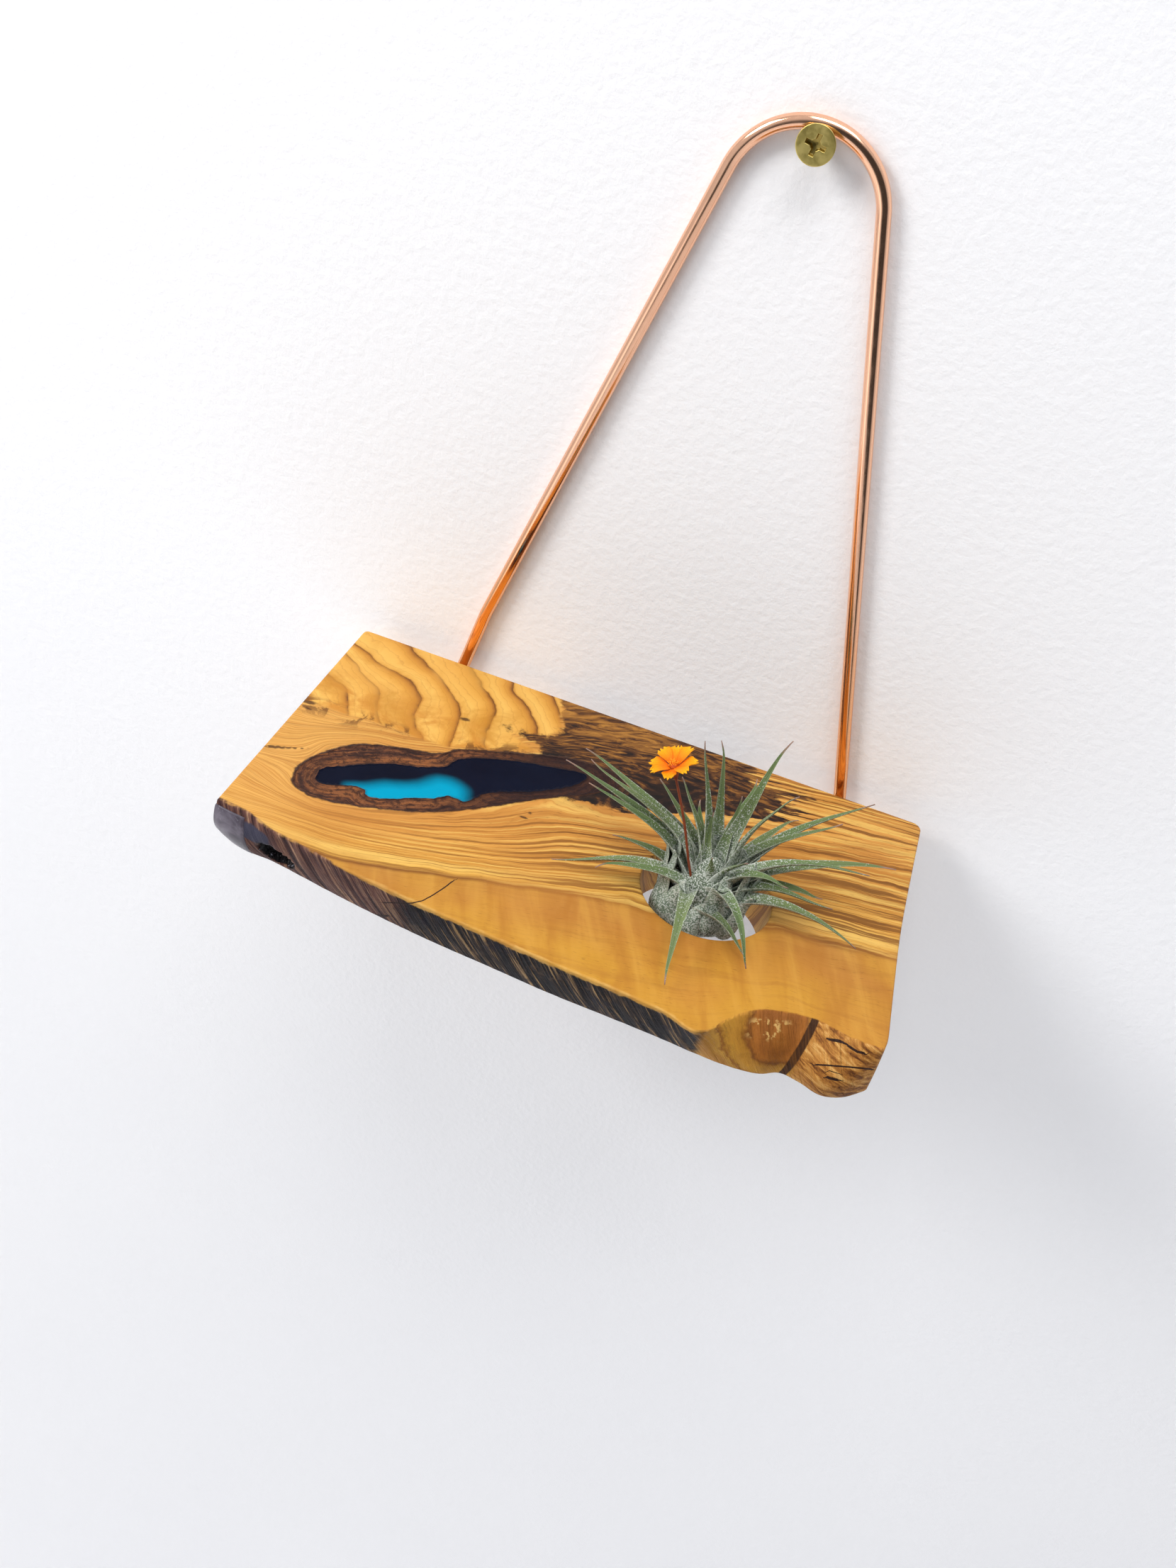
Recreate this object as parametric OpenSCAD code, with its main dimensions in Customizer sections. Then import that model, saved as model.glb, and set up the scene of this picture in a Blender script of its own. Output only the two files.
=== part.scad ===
// Air plant holder: a small live-edge olive wood shelf that hangs from one wall screw by a bent copper rod,
// with a resin inlay, and an air plant with a dried flower standing in a round hole.
// The row frame: the origin is where the screw enters the wall, +Y points into the wall and +Z is up.
// The shelf itself is laid out from its own back left top corner, and at_shelf() moves it into place.

/* [Shelf] */
// Length of the straight back edge of the shelf
shelf_w = 154; // [150:0.5:156]
// Thickness of the shelf
shelf_t = 13; // [12:0.5:14]
// Space between the back edge and the wall
wall_gap = 7; // [6.8:0.1:9]
// Radius of the hole that holds the plant
hole_r = 15.5; // [14:0.5:16]
// Distance of the hole's centre from the left end
hole_x = 109; // [105:1:112]
// Distance of the hole's centre from the back edge
hole_y = 53.3; // [50:0.1:56]
// Depth of the bark pocket that the resin is cast in
pocket_d = 8; // [6:0.5:9]

/* [Hanger rod] */
// Radius of the copper rod
rod_r = 1.63; // [1.5:0.01:1.65]
// Distance between the two feet
foot_span = 106.8; // [104:0.2:108]
// Distance of the left foot from the left end
foot_x = 26.3; // [25:0.1:28]
// Radius of the rod's centreline at the top of the loop
loop_r = 17.4; // [17:0.1:18]
// Radius of the rod's centreline where a foot turns into the shelf
foot_bend_r = 5; // [4:0.5:5.5]
// How deep a foot is glued into the back edge
socket_d = 18; // [12:1:20]
// Thickness of the epoxy round each foot
epoxy_t = 0.15; // [0.1:0.05:0.2]

/* [Wall screw] */
// Radius of the screw's head
head_r = 4.1; // [3.9:0.1:4.3]
// Height of the countersunk head
head_h = 2.9; // [2.6:0.1:2.9]
// Radius of the smooth shank that the loop hangs on
shank_r = 1.55; // [1.5:0.05:1.65]
// Radius over the thread
thread_r = 2.1; // [2.06:0.01:2.15]
// Length of the cylindrical part of the thread, from the wall's surface
thread_len = 20; // [16:1:24]
// Length of the screw's point
point_len = 5; // [4:0.5:6]

/* [Air plant] */
// Radius at which the leaves are set in the rosette's core
core_r = 6.2; // [5.5:0.1:6.5]
// Largest radius of the core, over the packed leaf bases
bulb_r = 8.8; // [7.5:0.1:9.2]
// Thickness of a leaf at its base
leaf_t = 0.9; // [0.7:0.05:1.1]

/* [Flower] */
// Radius of the flower's stem
stem_r = 0.26; // [0.24:0.01:0.3]
// Lean of the stem from upright, towards the left
stem_lean = 21.5; // [20:0.5:23]
// Number of petals
petal_count = 8; // [8:1:8]
// Length of a petal
petal_len = 4.9; // [4.5:0.1:5.2]

/* [Hidden] */
leaf_names = ["leaf_01", "leaf_02", "leaf_03", "leaf_04", "leaf_05", "leaf_06", "leaf_07", "leaf_08",
    "leaf_09", "leaf_10", "leaf_11", "leaf_12", "leaf_13", "leaf_14", "leaf_15", "leaf_16",
    "leaf_17", "leaf_18", "leaf_19", "leaf_20", "leaf_21", "leaf_22", "leaf_23", "leaf_24",
    "leaf_25", "leaf_26", "leaf_27", "leaf_28", "leaf_29", "leaf_30", "leaf_31", "leaf_32"];
petal_names = ["petal_1", "petal_2", "petal_3", "petal_4", "petal_5", "petal_6", "petal_7", "petal_8"];
$fn = 64;

// The rod runs in an upright plane behind the back edge
rod_y = foot_bend_r;
socket_z = -shelf_t / 2;
// The two legs' straight lines would cross here, above the loop
leg_cross = [80.9, 202.5];
// The left leg turns a little steeper at this point
kink = [30.3, 14.2];
kink_r = 12;
rod_path = [
    [foot_x, -socket_d, socket_z],
    [foot_x, rod_y, socket_z],
    [kink[0], rod_y, kink[1]],
    [leg_cross[0], rod_y, leg_cross[1]],
    [foot_x + foot_span, rod_y, socket_z],
    [foot_x + foot_span, -socket_d, socket_z]
];
rod_bends = [0, foot_bend_r, kink_r, loop_r, foot_bend_r, 0];
// Sides of the rod's round section, and the turn from one section to the next round a bend
rod_sides = 20;
rod_step = 5;

// The loop's arc is centred below the point where the legs' lines cross
left_leg = unit(rod_path[3] - rod_path[2]);
right_leg = unit(rod_path[4] - rod_path[3]);
loop_turn = acos(left_leg * right_leg);
loop_down = unit(right_leg - left_leg);
loop_c = rod_path[3] + loop_down * loop_r / cos(loop_turn / 2);
// The loop hangs on the shank with a hair of play
hang_play = 0.05;
screw_x = loop_c[0];
screw_z = loop_c[2] + loop_r - rod_r - hang_play - shank_r;

head_gap = 0.07;
head_back = -wall_gap + rod_y - rod_r - head_gap;
head_rim = 0.4;
recess_w = 1.05;
recess_len = 5.2;
recess_d = 1.8;
recess_turn = 80;

// Front edge stations of the shelf: x, front of the top face, front of the underside, outward bulge between
front = [
    [0, 80.7, 77, 2.5], [4, 81.2, 79, 2.5], [8, 81.8, 80, 2.2], [14, 84.2, 80.3, 1.4], [22, 85.7, 81.6, 0.8],
    [30, 87.2, 83, 0.8], [45, 89, 85.2, 0.6], [56, 90.2, 86.4, 0.5], [70, 91.4, 87.4, 0.5],
    [84, 92.5, 88.5, 0.5], [100, 93.4, 89, 0.5], [110, 94.3, 89.4, 0.5], [119, 95.6, 90, 0.5],
    [124, 88.2, 90.2, 2.2], [128, 84.6, 90, 2.6], [133, 82.4, 89, 3], [137, 81.4, 86.7, 2.4],
    [141, 81.2, 87.1, 3], [147, 82.4, 88.6, 3], [152, 82.6, 86.3, 2.2], [155.4, 82.3, 83, 0.5]
];
// Right end, from the front to the rounded back corner: x and distance from the back edge
right_end = [[156, 75], [155.2, 62], [shelf_w + 0.3, 45], [shelf_w, 20], [shelf_w, 2.5], [shelf_w - 0.7, 0.7],
    [shelf_w - 2.5, 0]];
left_back = [[1.2, 0], [0.3, 0.4], [0, 1.4]];
levels = [0, 0.25, 0.5, 0.75, 1];

// Outlines in the top face, as points for a closed smooth curve, from the back left top corner
bark_outline = [[10.4, -62], [12.6, -54.5], [18.5, -46.5], [27.5, -42.3], [36.5, -39.5], [41, -34.8],
    [52, -29.5], [64, -24], [76, -22.5], [80, -26], [74, -34], [64, -42], [55, -50.5], [44, -59.5],
    [32, -65.3], [20, -68.8], [12.8, -67.8]];
resin_outline = [[14, -62.2], [18.5, -55.6], [26, -50.4], [34.5, -46.8], [40, -41.5], [46, -35.2],
    [54, -30.8], [64, -27.8], [71.5, -27.8], [69.5, -33], [61, -41.2], [52.5, -47.4], [48, -52.2],
    [38, -57.8], [30, -62.4], [20, -63.2]];
window_outline = [[21.5, -61], [28.5, -56], [36, -50.2], [42, -46], [49, -46.8], [47, -51.5],
    [38.5, -56.6], [30.5, -61.2]];

// The glossy corner chunk, seen from above, and how far it stays below the top face
corner_outline = [[-3, -74], [5, -76.5], [8.5, -80], [9.5, -95], [-3, -95]];
corner_top = 1.2;
// The open void beside it
void_c = [16, -85.2, -8.6];
void_r = 2.7;
void_len = 6;

plant_c = [108.5, -54, 0];
core_bottom = -6.6;
root_r = 4.2;
root_len = 2.4;
// Leaves: base direction, base height, tip direction, tip reach, tip height, start slope, end slope, width
leaves = [
    [170, 2.8, 170, 40, 17.8, 54, 12, 4.8],
    [154, 4.2, 162, 38, 19.5, 58, 18, 4.8],
    [176, 5.2, 174, 33.8, 22, 62, 20, 4.0],
    [186, 3.4, 181, 32, 19.2, 60, 16, 3.6],
    [172, 0.6, 175, 24, 5.5, 50, -8, 4.6],
    [205, 0.6, 198, 36, 3.2, 60, -14, 4.6],
    [248, 0.9, 200, 26.4, 4.8, 70, -24, 3.4],
    [138, 4.5, 155, 19.5, 20.5, 72, 38, 4.0],
    [150, 6.5, 160, 13.5, 26, 80, 58, 2.6],
    [132, 6.0, 143, 13.5, 34.3, 82, 66, 3.2],
    [94, 5.5, 119, 14, 33.3, 80, 62, 3.4],
    [128, 3.0, 126, 14, 16, 66, 46, 4.4],
    [60, 6.0, 55, 12.5, 40.8, 84, 64, 4.2],
    [20, 6.5, 9, 12.5, 33.7, 84, 60, 3.0],
    [42, 3.5, 27, 33, 28.6, 58, 26, 4.8],
    [52, 4.0, 19, 25.5, 25, 66, 30, 3.6],
    [8, 3.2, 13, 39.5, 18, 48, 4, 4.8],
    [350, 4.8, 0, 33, 20.5, 58, 2, 4.2],
    [14, 0.6, 9, 26, 5.6, 46, -30, 4.8],
    [322, 5.2, 341, 18, 13.5, 66, -26, 4.2],
    [350, 2.4, 0, 28.4, 8.2, 58, 2, 4.2],
    [330, 0.2, 355, 36.4, 2.4, 50, -28, 4.6],
    [296, 3.4, 302, 26.5, 2.6, 74, -62, 4.2],
    [262, -0.6, 307, 22.5, 1.8, 40, -16, 3.8],
    [222, 0.4, 268, 34.5, 1.6, 66, -36, 4.6],
    [84, 2.0, 82, 24, 18, 58, 18, 4.8],
    [104, 1.4, 101, 30, 11, 52, 2, 4.8],
    [60, 1.0, 58, 27, 12, 50, 4, 4.8],
    [270, 6.6, 262, 5, 14.5, 84, 70, 3.0],
    [180, 7.0, 130, 6, 19, 86, 74, 3.0],
    [300, 6.4, 330, 8, 16, 80, 56, 3.2],
    [70, 7.4, 80, 7.5, 24, 86, 72, 2.8]
];
leaf_rings = 10;
leaf_handle = 0.38;
leaf_tip_w = 0.3;
leaf_tip_t = 0.25;

// The stem leaves the core here and its lower end sits this far down in it
stem_root = [102.9, -56.8, 10];
stem_sunk = 8;
stem_len = 21.4;
stem_play = 0.07;
head_nod = 4;
calyx_h = 3.4;
calyx_r = 1.7;
disc_r = 0.95;
petal_w = 3.3;
petal_t = 0.22;
petal_rise = 38;
petal_end = 8;
petal_root_r = 1.05;
petal_step = 0.3;
petal_rings = 7;

through = 1;

function unit(v) = v / norm(v);
function ease(a, b, t) = a + (b - a) * t;

// Point at t from 0 to 1 of a cubic curve from a to b with the handles ha and hb
function curve(a, ha, hb, b, t) =
    pow(1 - t, 3) * a + 3 * pow(1 - t, 2) * t * ha + 3 * (1 - t) * t * t * hb + pow(t, 3) * b;

// Closed smooth curve through all points of p, with n steps between each pair
function smooth(p, n) = [
    for (i = [0 : len(p) - 1], k = [0 : n - 1])
        let (m = len(p), a = p[(i + m - 1) % m], b = p[i], c = p[(i + 1) % m], d = p[(i + 2) % m], t = k / n)
        0.5 * (2 * b + (c - a) * t + (2 * a - 5 * b + 4 * c - d) * t * t + (3 * b - a - 3 * c + d) * t * t * t)
];

// Triangles of a closed tube of rings, each of n points
function tube_faces(rings, n) = concat(
    [[for (k = [n - 1 : -1 : 0]) k]],
    [for (r = [0 : rings - 2], k = [0 : n - 1]) [r * n + k, r * n + (k + 1) % n, (r + 1) * n + (k + 1) % n]],
    [for (r = [0 : rings - 2], k = [0 : n - 1]) [r * n + k, (r + 1) * n + (k + 1) % n, (r + 1) * n + k]],
    [[for (k = [0 : n - 1]) (rings - 1) * n + k]]
);

// Six-sided section of a blade: half width along side, half thickness along up
function blade_ring(c, side, up, w, t) = [
    c - side * w / 2,
    c - side * w / 4 - up * t / 2,
    c + side * w / 4 - up * t / 2,
    c + side * w / 2,
    c + side * w / 4 + up * t / 2,
    c - side * w / 4 + up * t / 2
];

// Points of a thin blade along a curve in one upright plane. widths and thicks are functions of t
function blade_points(a, ha, hb, b, side, rings, widths, thicks) = [
    for (i = [0 : rings - 1])
        let (t = i / (rings - 1), d = 0.01)
        let (ahead = curve(a, ha, hb, b, min(1, t + d)), behind = curve(a, ha, hb, b, max(0, t - d)))
        each blade_ring(curve(a, ha, hb, b, t), side, cross(unit(ahead - behind), side), widths(t), thicks(t))
];

module at_shelf() {
    translate([-screw_x, -wall_gap, -screw_z]) children();
}

// Round section of the rod at p, square to the direction along, with side one direction across it
function rod_ring(p, along, side) = [
    for (k = [0 : rod_sides - 1])
        p + rod_r * (cos(360 * k / rod_sides) * cross(side, along) + sin(360 * k / rod_sides) * side)
];

// Direction across the rod that stays the same round a foot's bend, and turns with the loop elsewhere
function rod_side(i, along, a, b) =
    i == 1 ? unit(cross([0, 1, 0], b)) : i == len(rod_path) - 2 ? unit(cross([0, 1, 0], a)) : cross([0, 1, 0], along);

// Sections round the bend at point i of the rod's path
function bend_rings(i) =
    let (a = unit(rod_path[i] - rod_path[i - 1]), b = unit(rod_path[i + 1] - rod_path[i]), bend = rod_bends[i])
    let (turn = acos(a * b), inward = unit(b - a * (a * b)), steps = ceil(turn / rod_step))
    let (centre = rod_path[i] - a * bend * tan(turn / 2) + inward * bend)
    [for (k = [0 : steps])
        let (angle = turn * k / steps, along = a * cos(angle) + inward * sin(angle))
        each rod_ring(centre - inward * bend * cos(angle) + a * bend * sin(angle), along,
            rod_side(i, along, a, b))];

// The hanger: one round rod swept along its path, foot to foot
module hanger_rod() {
    last = len(rod_path) - 1;
    start_dir = unit(rod_path[1] - rod_path[0]);
    end_dir = unit(rod_path[last] - rod_path[last - 1]);
    points = concat(
        rod_ring(rod_path[0], start_dir, rod_side(1, start_dir, start_dir, unit(rod_path[2] - rod_path[1]))),
        [for (i = [1 : last - 1]) each bend_rings(i)],
        rod_ring(rod_path[last], end_dir,
            rod_side(last - 1, end_dir, unit(rod_path[last - 1] - rod_path[last - 2]), end_dir))
    );
    color("#c8794a") at_shelf() polyhedron(points, tube_faces(len(points) / rod_sides, rod_sides), convexity = 6);
}

// Countersunk wood screw with a cross recess, its thread drawn as a plain cylinder
module wall_screw() {
    color("#a8924c") difference() {
        rotate([-90, 0, 0]) rotate_extrude() polygon([
            [0, head_back - head_h],
            [head_r - 0.15, head_back - head_h],
            [head_r, head_back - head_h + 0.15],
            [head_r, head_back - head_h + head_rim],
            [shank_r, head_back],
            [shank_r, 0],
            [thread_r, 0],
            [thread_r, thread_len],
            [0.15, thread_len + point_len],
            [0, thread_len + point_len]
        ]);
        for (turn = [0, 90])
            translate([0, head_back - head_h, 0])
                rotate([0, -recess_turn - turn, 0])
                    translate([-recess_len / 2, -through, -recess_w / 2])
                        cube([recess_len, through + recess_d, recess_w]);
    }
}

// The sleeve of epoxy between a rod's foot and its drilled hole
module socket_epoxy(x) {
    translate([x, -socket_d, socket_z]) rotate([-90, 0, 0]) difference() {
        cylinder(r = rod_r + epoxy_t, h = socket_d);
        translate([0, 0, -through]) cylinder(r = rod_r, h = socket_d + 2 * through);
    }
}

module socket_epoxy_left() {
    color("#e6ddc4") at_shelf() socket_epoxy(foot_x);
}

module socket_epoxy_right() {
    color("#e6ddc4") at_shelf() socket_epoxy(foot_x + foot_span);
}

// Outline of the shelf at level t, from 0 at the top face to 1 at the underside
function outline(t) = concat(
    [for (p = left_back) [p[0], -p[1], -shelf_t * t]],
    [for (s = front) [s[0], -ease(s[1], s[2], t) - s[3] * sin(180 * t), -shelf_t * t]],
    [for (p = right_end) [p[0], -p[1], -shelf_t * t]]
);

// The whole shelf before anything is drilled or cut from it
module slab_blank() {
    rings = [for (t = levels) each outline(t)];
    count = len(outline(0));
    polyhedron(rings, tube_faces(len(levels), count), convexity = 6);
}

module corner_region() {
    translate([0, 0, -shelf_t - through])
        linear_extrude(shelf_t + through - corner_top) polygon(corner_outline);
}

// The rough void in the front edge: a short round-ended hole
module edge_void() {
    translate(void_c) rotate([0, 96, 0]) union() {
        translate([0, 0, -void_len / 2]) cylinder(r = void_r, h = void_len);
        for (end = [-1, 1]) translate([0, 0, end * void_len / 2]) sphere(r = void_r);
    }
}

module wood_slab() {
    color("#c58f45") at_shelf() difference() {
        slab_blank();
        translate([hole_x, -hole_y, -shelf_t - through]) cylinder(r = hole_r, h = shelf_t + 2 * through);
        for (x = [foot_x, foot_x + foot_span])
            translate([x, -socket_d, socket_z]) rotate([-90, 0, 0])
                cylinder(r = rod_r + epoxy_t, h = socket_d + through);
        translate([0, 0, -pocket_d]) linear_extrude(pocket_d + through) polygon(smooth(bark_outline, 4));
        translate([0, 0, -shelf_t - through]) linear_extrude(shelf_t) polygon(smooth(window_outline, 4));
        corner_region();
        edge_void();
    }
}

// The ring of old bark that lines the pocket
module bark_rim() {
    color("#5a3320") at_shelf() translate([0, 0, -pocket_d]) difference() {
        linear_extrude(pocket_d) polygon(smooth(bark_outline, 4));
        translate([0, 0, -through]) linear_extrude(pocket_d + 2 * through) polygon(smooth(resin_outline, 4));
    }
}

// Resin cast in the pocket and down through the window below it
module resin_inlay() {
    color("#0b6f8c") at_shelf() union() {
        translate([0, 0, -pocket_d]) linear_extrude(pocket_d) polygon(smooth(resin_outline, 4));
        translate([0, 0, -shelf_t]) linear_extrude(shelf_t) polygon(smooth(window_outline, 4));
    }
}

// Dark resin that makes good the broken corner
module corner_resin() {
    color("#4a4650") at_shelf() difference() {
        intersection() {
            slab_blank();
            corner_region();
        }
        edge_void();
    }
}

module at_flower() {
    translate(stem_root) rotate([0, -stem_lean, 0]) children();
}

// The flower's head nods forward at the top of the stem
module at_head() {
    at_flower() translate([0, 0, stem_len]) rotate([head_nod, 0, 0]) children();
}

// The rosette's core: closely packed leaf bases, with the small hole that the flower is stuck in
module plant_core() {
    color("#7f9079") at_shelf() difference() {
        translate(plant_c) rotate_extrude() polygon([
            [0, core_bottom], [bulb_r - 2.8, core_bottom], [bulb_r - 0.9, -5.2], [bulb_r - 0.1, -2.8], [bulb_r, 0],
            [bulb_r - 1, 3], [bulb_r - 2.9, 5.5], [bulb_r - 5.2, 8], [1.6, 10], [0, 11]
        ]);
        at_flower() translate([0, 0, -stem_sunk]) cylinder(r = stem_r + stem_play, h = 2 * stem_sunk);
    }
}

// The dry brown stub where the roots were
module root_stub() {
    color("#6b5138") at_shelf() translate(plant_c) rotate_extrude() polygon([
        [0, core_bottom - root_len], [1.2, core_bottom - root_len], [2.6, core_bottom - root_len / 2],
        [root_r, core_bottom], [0, core_bottom]
    ]);
}

// One leaf: a tapering blade that arches from the core to its tip in an upright plane
module leaf(spec) {
    core_at = spec[1] < 1 ? core_r - 0.9 : core_r - 0.6 - 0.45 * spec[1];
    base = plant_c + [core_at * cos(spec[0]), core_at * sin(spec[0]), spec[1]];
    tip = plant_c + [spec[3] * cos(spec[2]), spec[3] * sin(spec[2]), spec[4]];
    flat = unit([tip[0] - base[0], tip[1] - base[1], 0]);
    side = [-flat[1], flat[0], 0];
    reach = norm(tip - base) * leaf_handle;
    start = flat * cos(spec[5]) + [0, 0, sin(spec[5])];
    finish = flat * cos(spec[6]) + [0, 0, sin(spec[6])];
    points = blade_points(base, base + start * reach, tip - finish * reach, tip, side, leaf_rings,
        function (t) ease(spec[7], leaf_tip_w, pow(t, 0.8)), function (t) ease(leaf_t, leaf_tip_t, t));
    color("#8a9c80") at_shelf() polyhedron(points, tube_faces(leaf_rings, 6), convexity = 4);
}

module flower_stem() {
    color("#6e3220") at_shelf() at_flower() translate([0, 0, -stem_sunk])
        cylinder(r = stem_r, h = stem_sunk + stem_len);
}

module flower_calyx() {
    color("#8c3a14") at_shelf() at_head() rotate_extrude() polygon([
        [0, 0], [stem_r + 0.15, 0], [0.75, calyx_h * 0.45], [calyx_r, calyx_h], [0, calyx_h]
    ]);
}

module flower_disc() {
    color("#c85a0a") at_shelf() at_head() translate([0, 0, calyx_h]) rotate_extrude() polygon([
        [0, 0], [disc_r, 0], [disc_r * 0.8, 0.6], [0, 1.1]
    ]);
}

// One petal of the ring, wider towards its rounded end, every second one set a little higher
module petal(i) {
    base = [petal_root_r, 0, 0.05 + (i % 2) * petal_step];
    start = [cos(petal_rise), 0, sin(petal_rise)];
    finish = [cos(petal_end), 0, sin(petal_end)];
    tip = base + (start + finish) * petal_len / 2;
    reach = petal_len * leaf_handle;
    points = blade_points(base, base + start * reach, tip - finish * reach, tip, [0, 1, 0], petal_rings,
        function (t) ease(0.7, petal_w, sin(110 * min(1, t * 1.25))) * (t > 0.95 ? 0.55 : 1),
        function (t) petal_t);
    color("#ff9000") at_shelf() at_head() translate([0, 0, calyx_h])
        rotate([0, 0, 360 * i / petal_count]) polyhedron(points, tube_faces(petal_rings, 6), convexity = 4);
}

wall_screw();
hanger_rod();
socket_epoxy_left();
socket_epoxy_right();
wood_slab();
bark_rim();
resin_inlay();
corner_resin();
plant_core();
root_stub();
for (i = [0 : len(leaves) - 1]) leaf(leaves[i]);
flower_stem();
flower_calyx();
flower_disc();
for (i = [0 : petal_count - 1]) petal(i);
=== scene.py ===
"""Looks of a small wall-hung air plant holder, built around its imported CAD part. Lengths are in mm."""

import math

import bpy
import numpy as np
from mathutils import Matrix, Vector
from mathutils.geometry import delaunay_2d_cdt


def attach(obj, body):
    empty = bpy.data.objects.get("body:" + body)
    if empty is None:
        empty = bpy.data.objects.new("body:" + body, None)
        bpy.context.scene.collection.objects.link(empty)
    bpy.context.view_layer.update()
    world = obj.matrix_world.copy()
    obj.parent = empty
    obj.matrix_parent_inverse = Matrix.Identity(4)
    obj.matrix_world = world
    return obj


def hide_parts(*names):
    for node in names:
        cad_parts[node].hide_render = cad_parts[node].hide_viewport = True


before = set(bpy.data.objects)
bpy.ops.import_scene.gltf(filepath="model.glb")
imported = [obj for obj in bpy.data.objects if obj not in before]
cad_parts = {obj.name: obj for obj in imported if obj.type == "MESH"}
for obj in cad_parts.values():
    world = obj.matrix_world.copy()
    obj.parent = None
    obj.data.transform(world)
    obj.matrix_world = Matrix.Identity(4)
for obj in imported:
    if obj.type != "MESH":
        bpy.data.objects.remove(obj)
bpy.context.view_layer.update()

# ---------------------------------------------------------------- Wall, camera and light
# A white painted wall that the holder hangs on, with a pale floor well below it.
# It is stage, and not part of the object. Seen from behind, the wall is clear.

MM = 0.001
tree = None  # the node tree in hand


def srgb(r, g, b):
    """Linear colour of an 8-bit screen colour: each channel to the power 2.2, nearly."""
    c = np.array([r, g, b], float) / 255
    return tuple(np.where(c < 0.04045, c / 12.92, ((c + 0.055) / 1.055)**2.4)) + (1.0,)


def lit(r, g, b, share=0.70):
    """Own colour of a surface that shows as r, g, b under the window's light: that share of it, in linear
    light."""
    return tuple(np.array(srgb(r, g, b)[:3]) * share) + (1.0,)


class Value:
    """One output of a node. + - * / ** and abs() on it each add a Math node."""

    def __init__(self, socket):
        self.socket = socket

    def __add__(self, other):
        return calc("ADD", self, other)

    def __sub__(self, other):
        return calc("SUBTRACT", self, other)

    def __rsub__(self, other):
        return calc("SUBTRACT", other, self)

    def __mul__(self, other):
        return calc("MULTIPLY", self, other)

    def __truediv__(self, other):
        return calc("DIVIDE", self, other)

    def __pow__(self, other):
        return calc("POWER", self, other)

    def __abs__(self):
        return calc("ABSOLUTE", self)


def material(name):
    """Starts a new material, whose node tree is then the one in hand. Returns it and its Object
    coordinates."""
    global tree
    mat = bpy.data.materials.new(name)
    mat.use_nodes = True
    tree = mat.node_tree
    tree.nodes.clear()
    return mat, node("TexCoord", output="Object")


def node(kind, inputs=None, output=0, **props):
    """Adds a node to the tree in hand. inputs maps a socket's name or number to a number, a colour or a
    Value. Returns one output as a Value."""
    n = tree.nodes.new("ShaderNode" + kind)
    for key, value in props.items():
        setattr(n, key, value)
    for key, value in (inputs or {}).items():
        if isinstance(value, Value):
            tree.links.new(value.socket, n.inputs[key])
        else:
            n.inputs[key].default_value = value
    return Value(n.outputs[output])


def surface(shader):
    """Makes a shader the surface of the material in hand."""
    tree.links.new(shader.socket, tree.nodes.new("ShaderNodeOutputMaterial").inputs[0])


def skin(inputs):
    """Principled shader with these inputs, as the surface."""
    surface(node("BsdfPrincipled", inputs))


def calc(operation, a, b=0.0):
    """One Math node."""
    return node("Math", {0: a, 1: b}, operation=operation)


def span(value, low, high, to_low=0.0, to_high=1.0, smooth=True):
    """Map Range: value from low..high to to_low..to_high, clamped."""
    return node("MapRange", {"Value": value, "From Min": low, "From Max": high, "To Min": to_low,
                             "To Max": to_high}, "Result", interpolation_type="SMOOTHSTEP" if smooth
                else "LINEAR")


def mix(share, a, b, blend="MIX"):
    """Colour a where share is 0, colour b where it is 1."""
    return node("Mix", {0: share, 6: a, 7: b}, 2, data_type="RGBA", blend_type=blend)


def ramp(value, stops):
    """Colour ramp through the stops (position, r, g, b), with each colour made by lit."""
    result = node("ValToRGB", {"Fac": value})
    band = result.socket.node.color_ramp.elements
    band.remove(band[-1])
    band[0].position = stops[0][0]
    for k, (at, *rgb) in enumerate(stops):
        (band.new(at) if k else band[0]).color = lit(*rgb)
    return result


def noise(vector, scale, detail=2.0, rough=0.5, warp=0.0):
    """Noise value at a vector."""
    return node("TexNoise", {"Vector": vector, "Scale": scale, "Detail": detail, "Roughness": rough,
                             "Distortion": warp}, "Fac")


def bump(height, distance, strength=1.0, under=None):
    """Bump of that height, in metres, on top of another normal."""
    below = {} if under is None else {"Normal": under}
    return node("Bump", {"Height": height, "Distance": distance, "Strength": strength, **below}, "Normal")


def attribute(name):
    """A number stored on the mesh under that name."""
    return node("Attribute", output="Fac", attribute_name=name)


def joined(*parts):
    """A vector of up to three values."""
    return node("CombineXYZ", dict(enumerate(parts)))


def part(vector, k):
    """A vector's x, y or z, for k 0, 1 or 2."""
    return node("SeparateXYZ", {0: vector}, k)


wall_mat, co = material("wall_paint")
paint = node("BsdfPrincipled", {"Base Color": mix(noise(co, 6, 2), srgb(243, 243, 245), srgb(247, 247, 248)),
                                "Roughness": 0.9, "Normal": bump(noise(co, 420, 3, 0.6), 0.0004, 0.5)})
surface(node("MixShader", {0: node("NewGeometry", output="Backfacing"), 1: paint,
                           2: node("BsdfTransparent")}))


def show(name, data):
    """A new object in the scene with that mesh, lamp or camera."""
    made = bpy.data.objects.new(name, data)
    bpy.context.scene.collection.objects.link(made)
    return made


def quad(name, corners, mat):
    """A flat stage sheet through four corners, in mm."""
    mesh = bpy.data.meshes.new(name)
    mesh.from_pydata((np.array(corners, float) * MM).tolist(), [], [(0, 1, 2, 3)])
    mesh.materials.append(mat)
    show(name, mesh)


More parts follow.
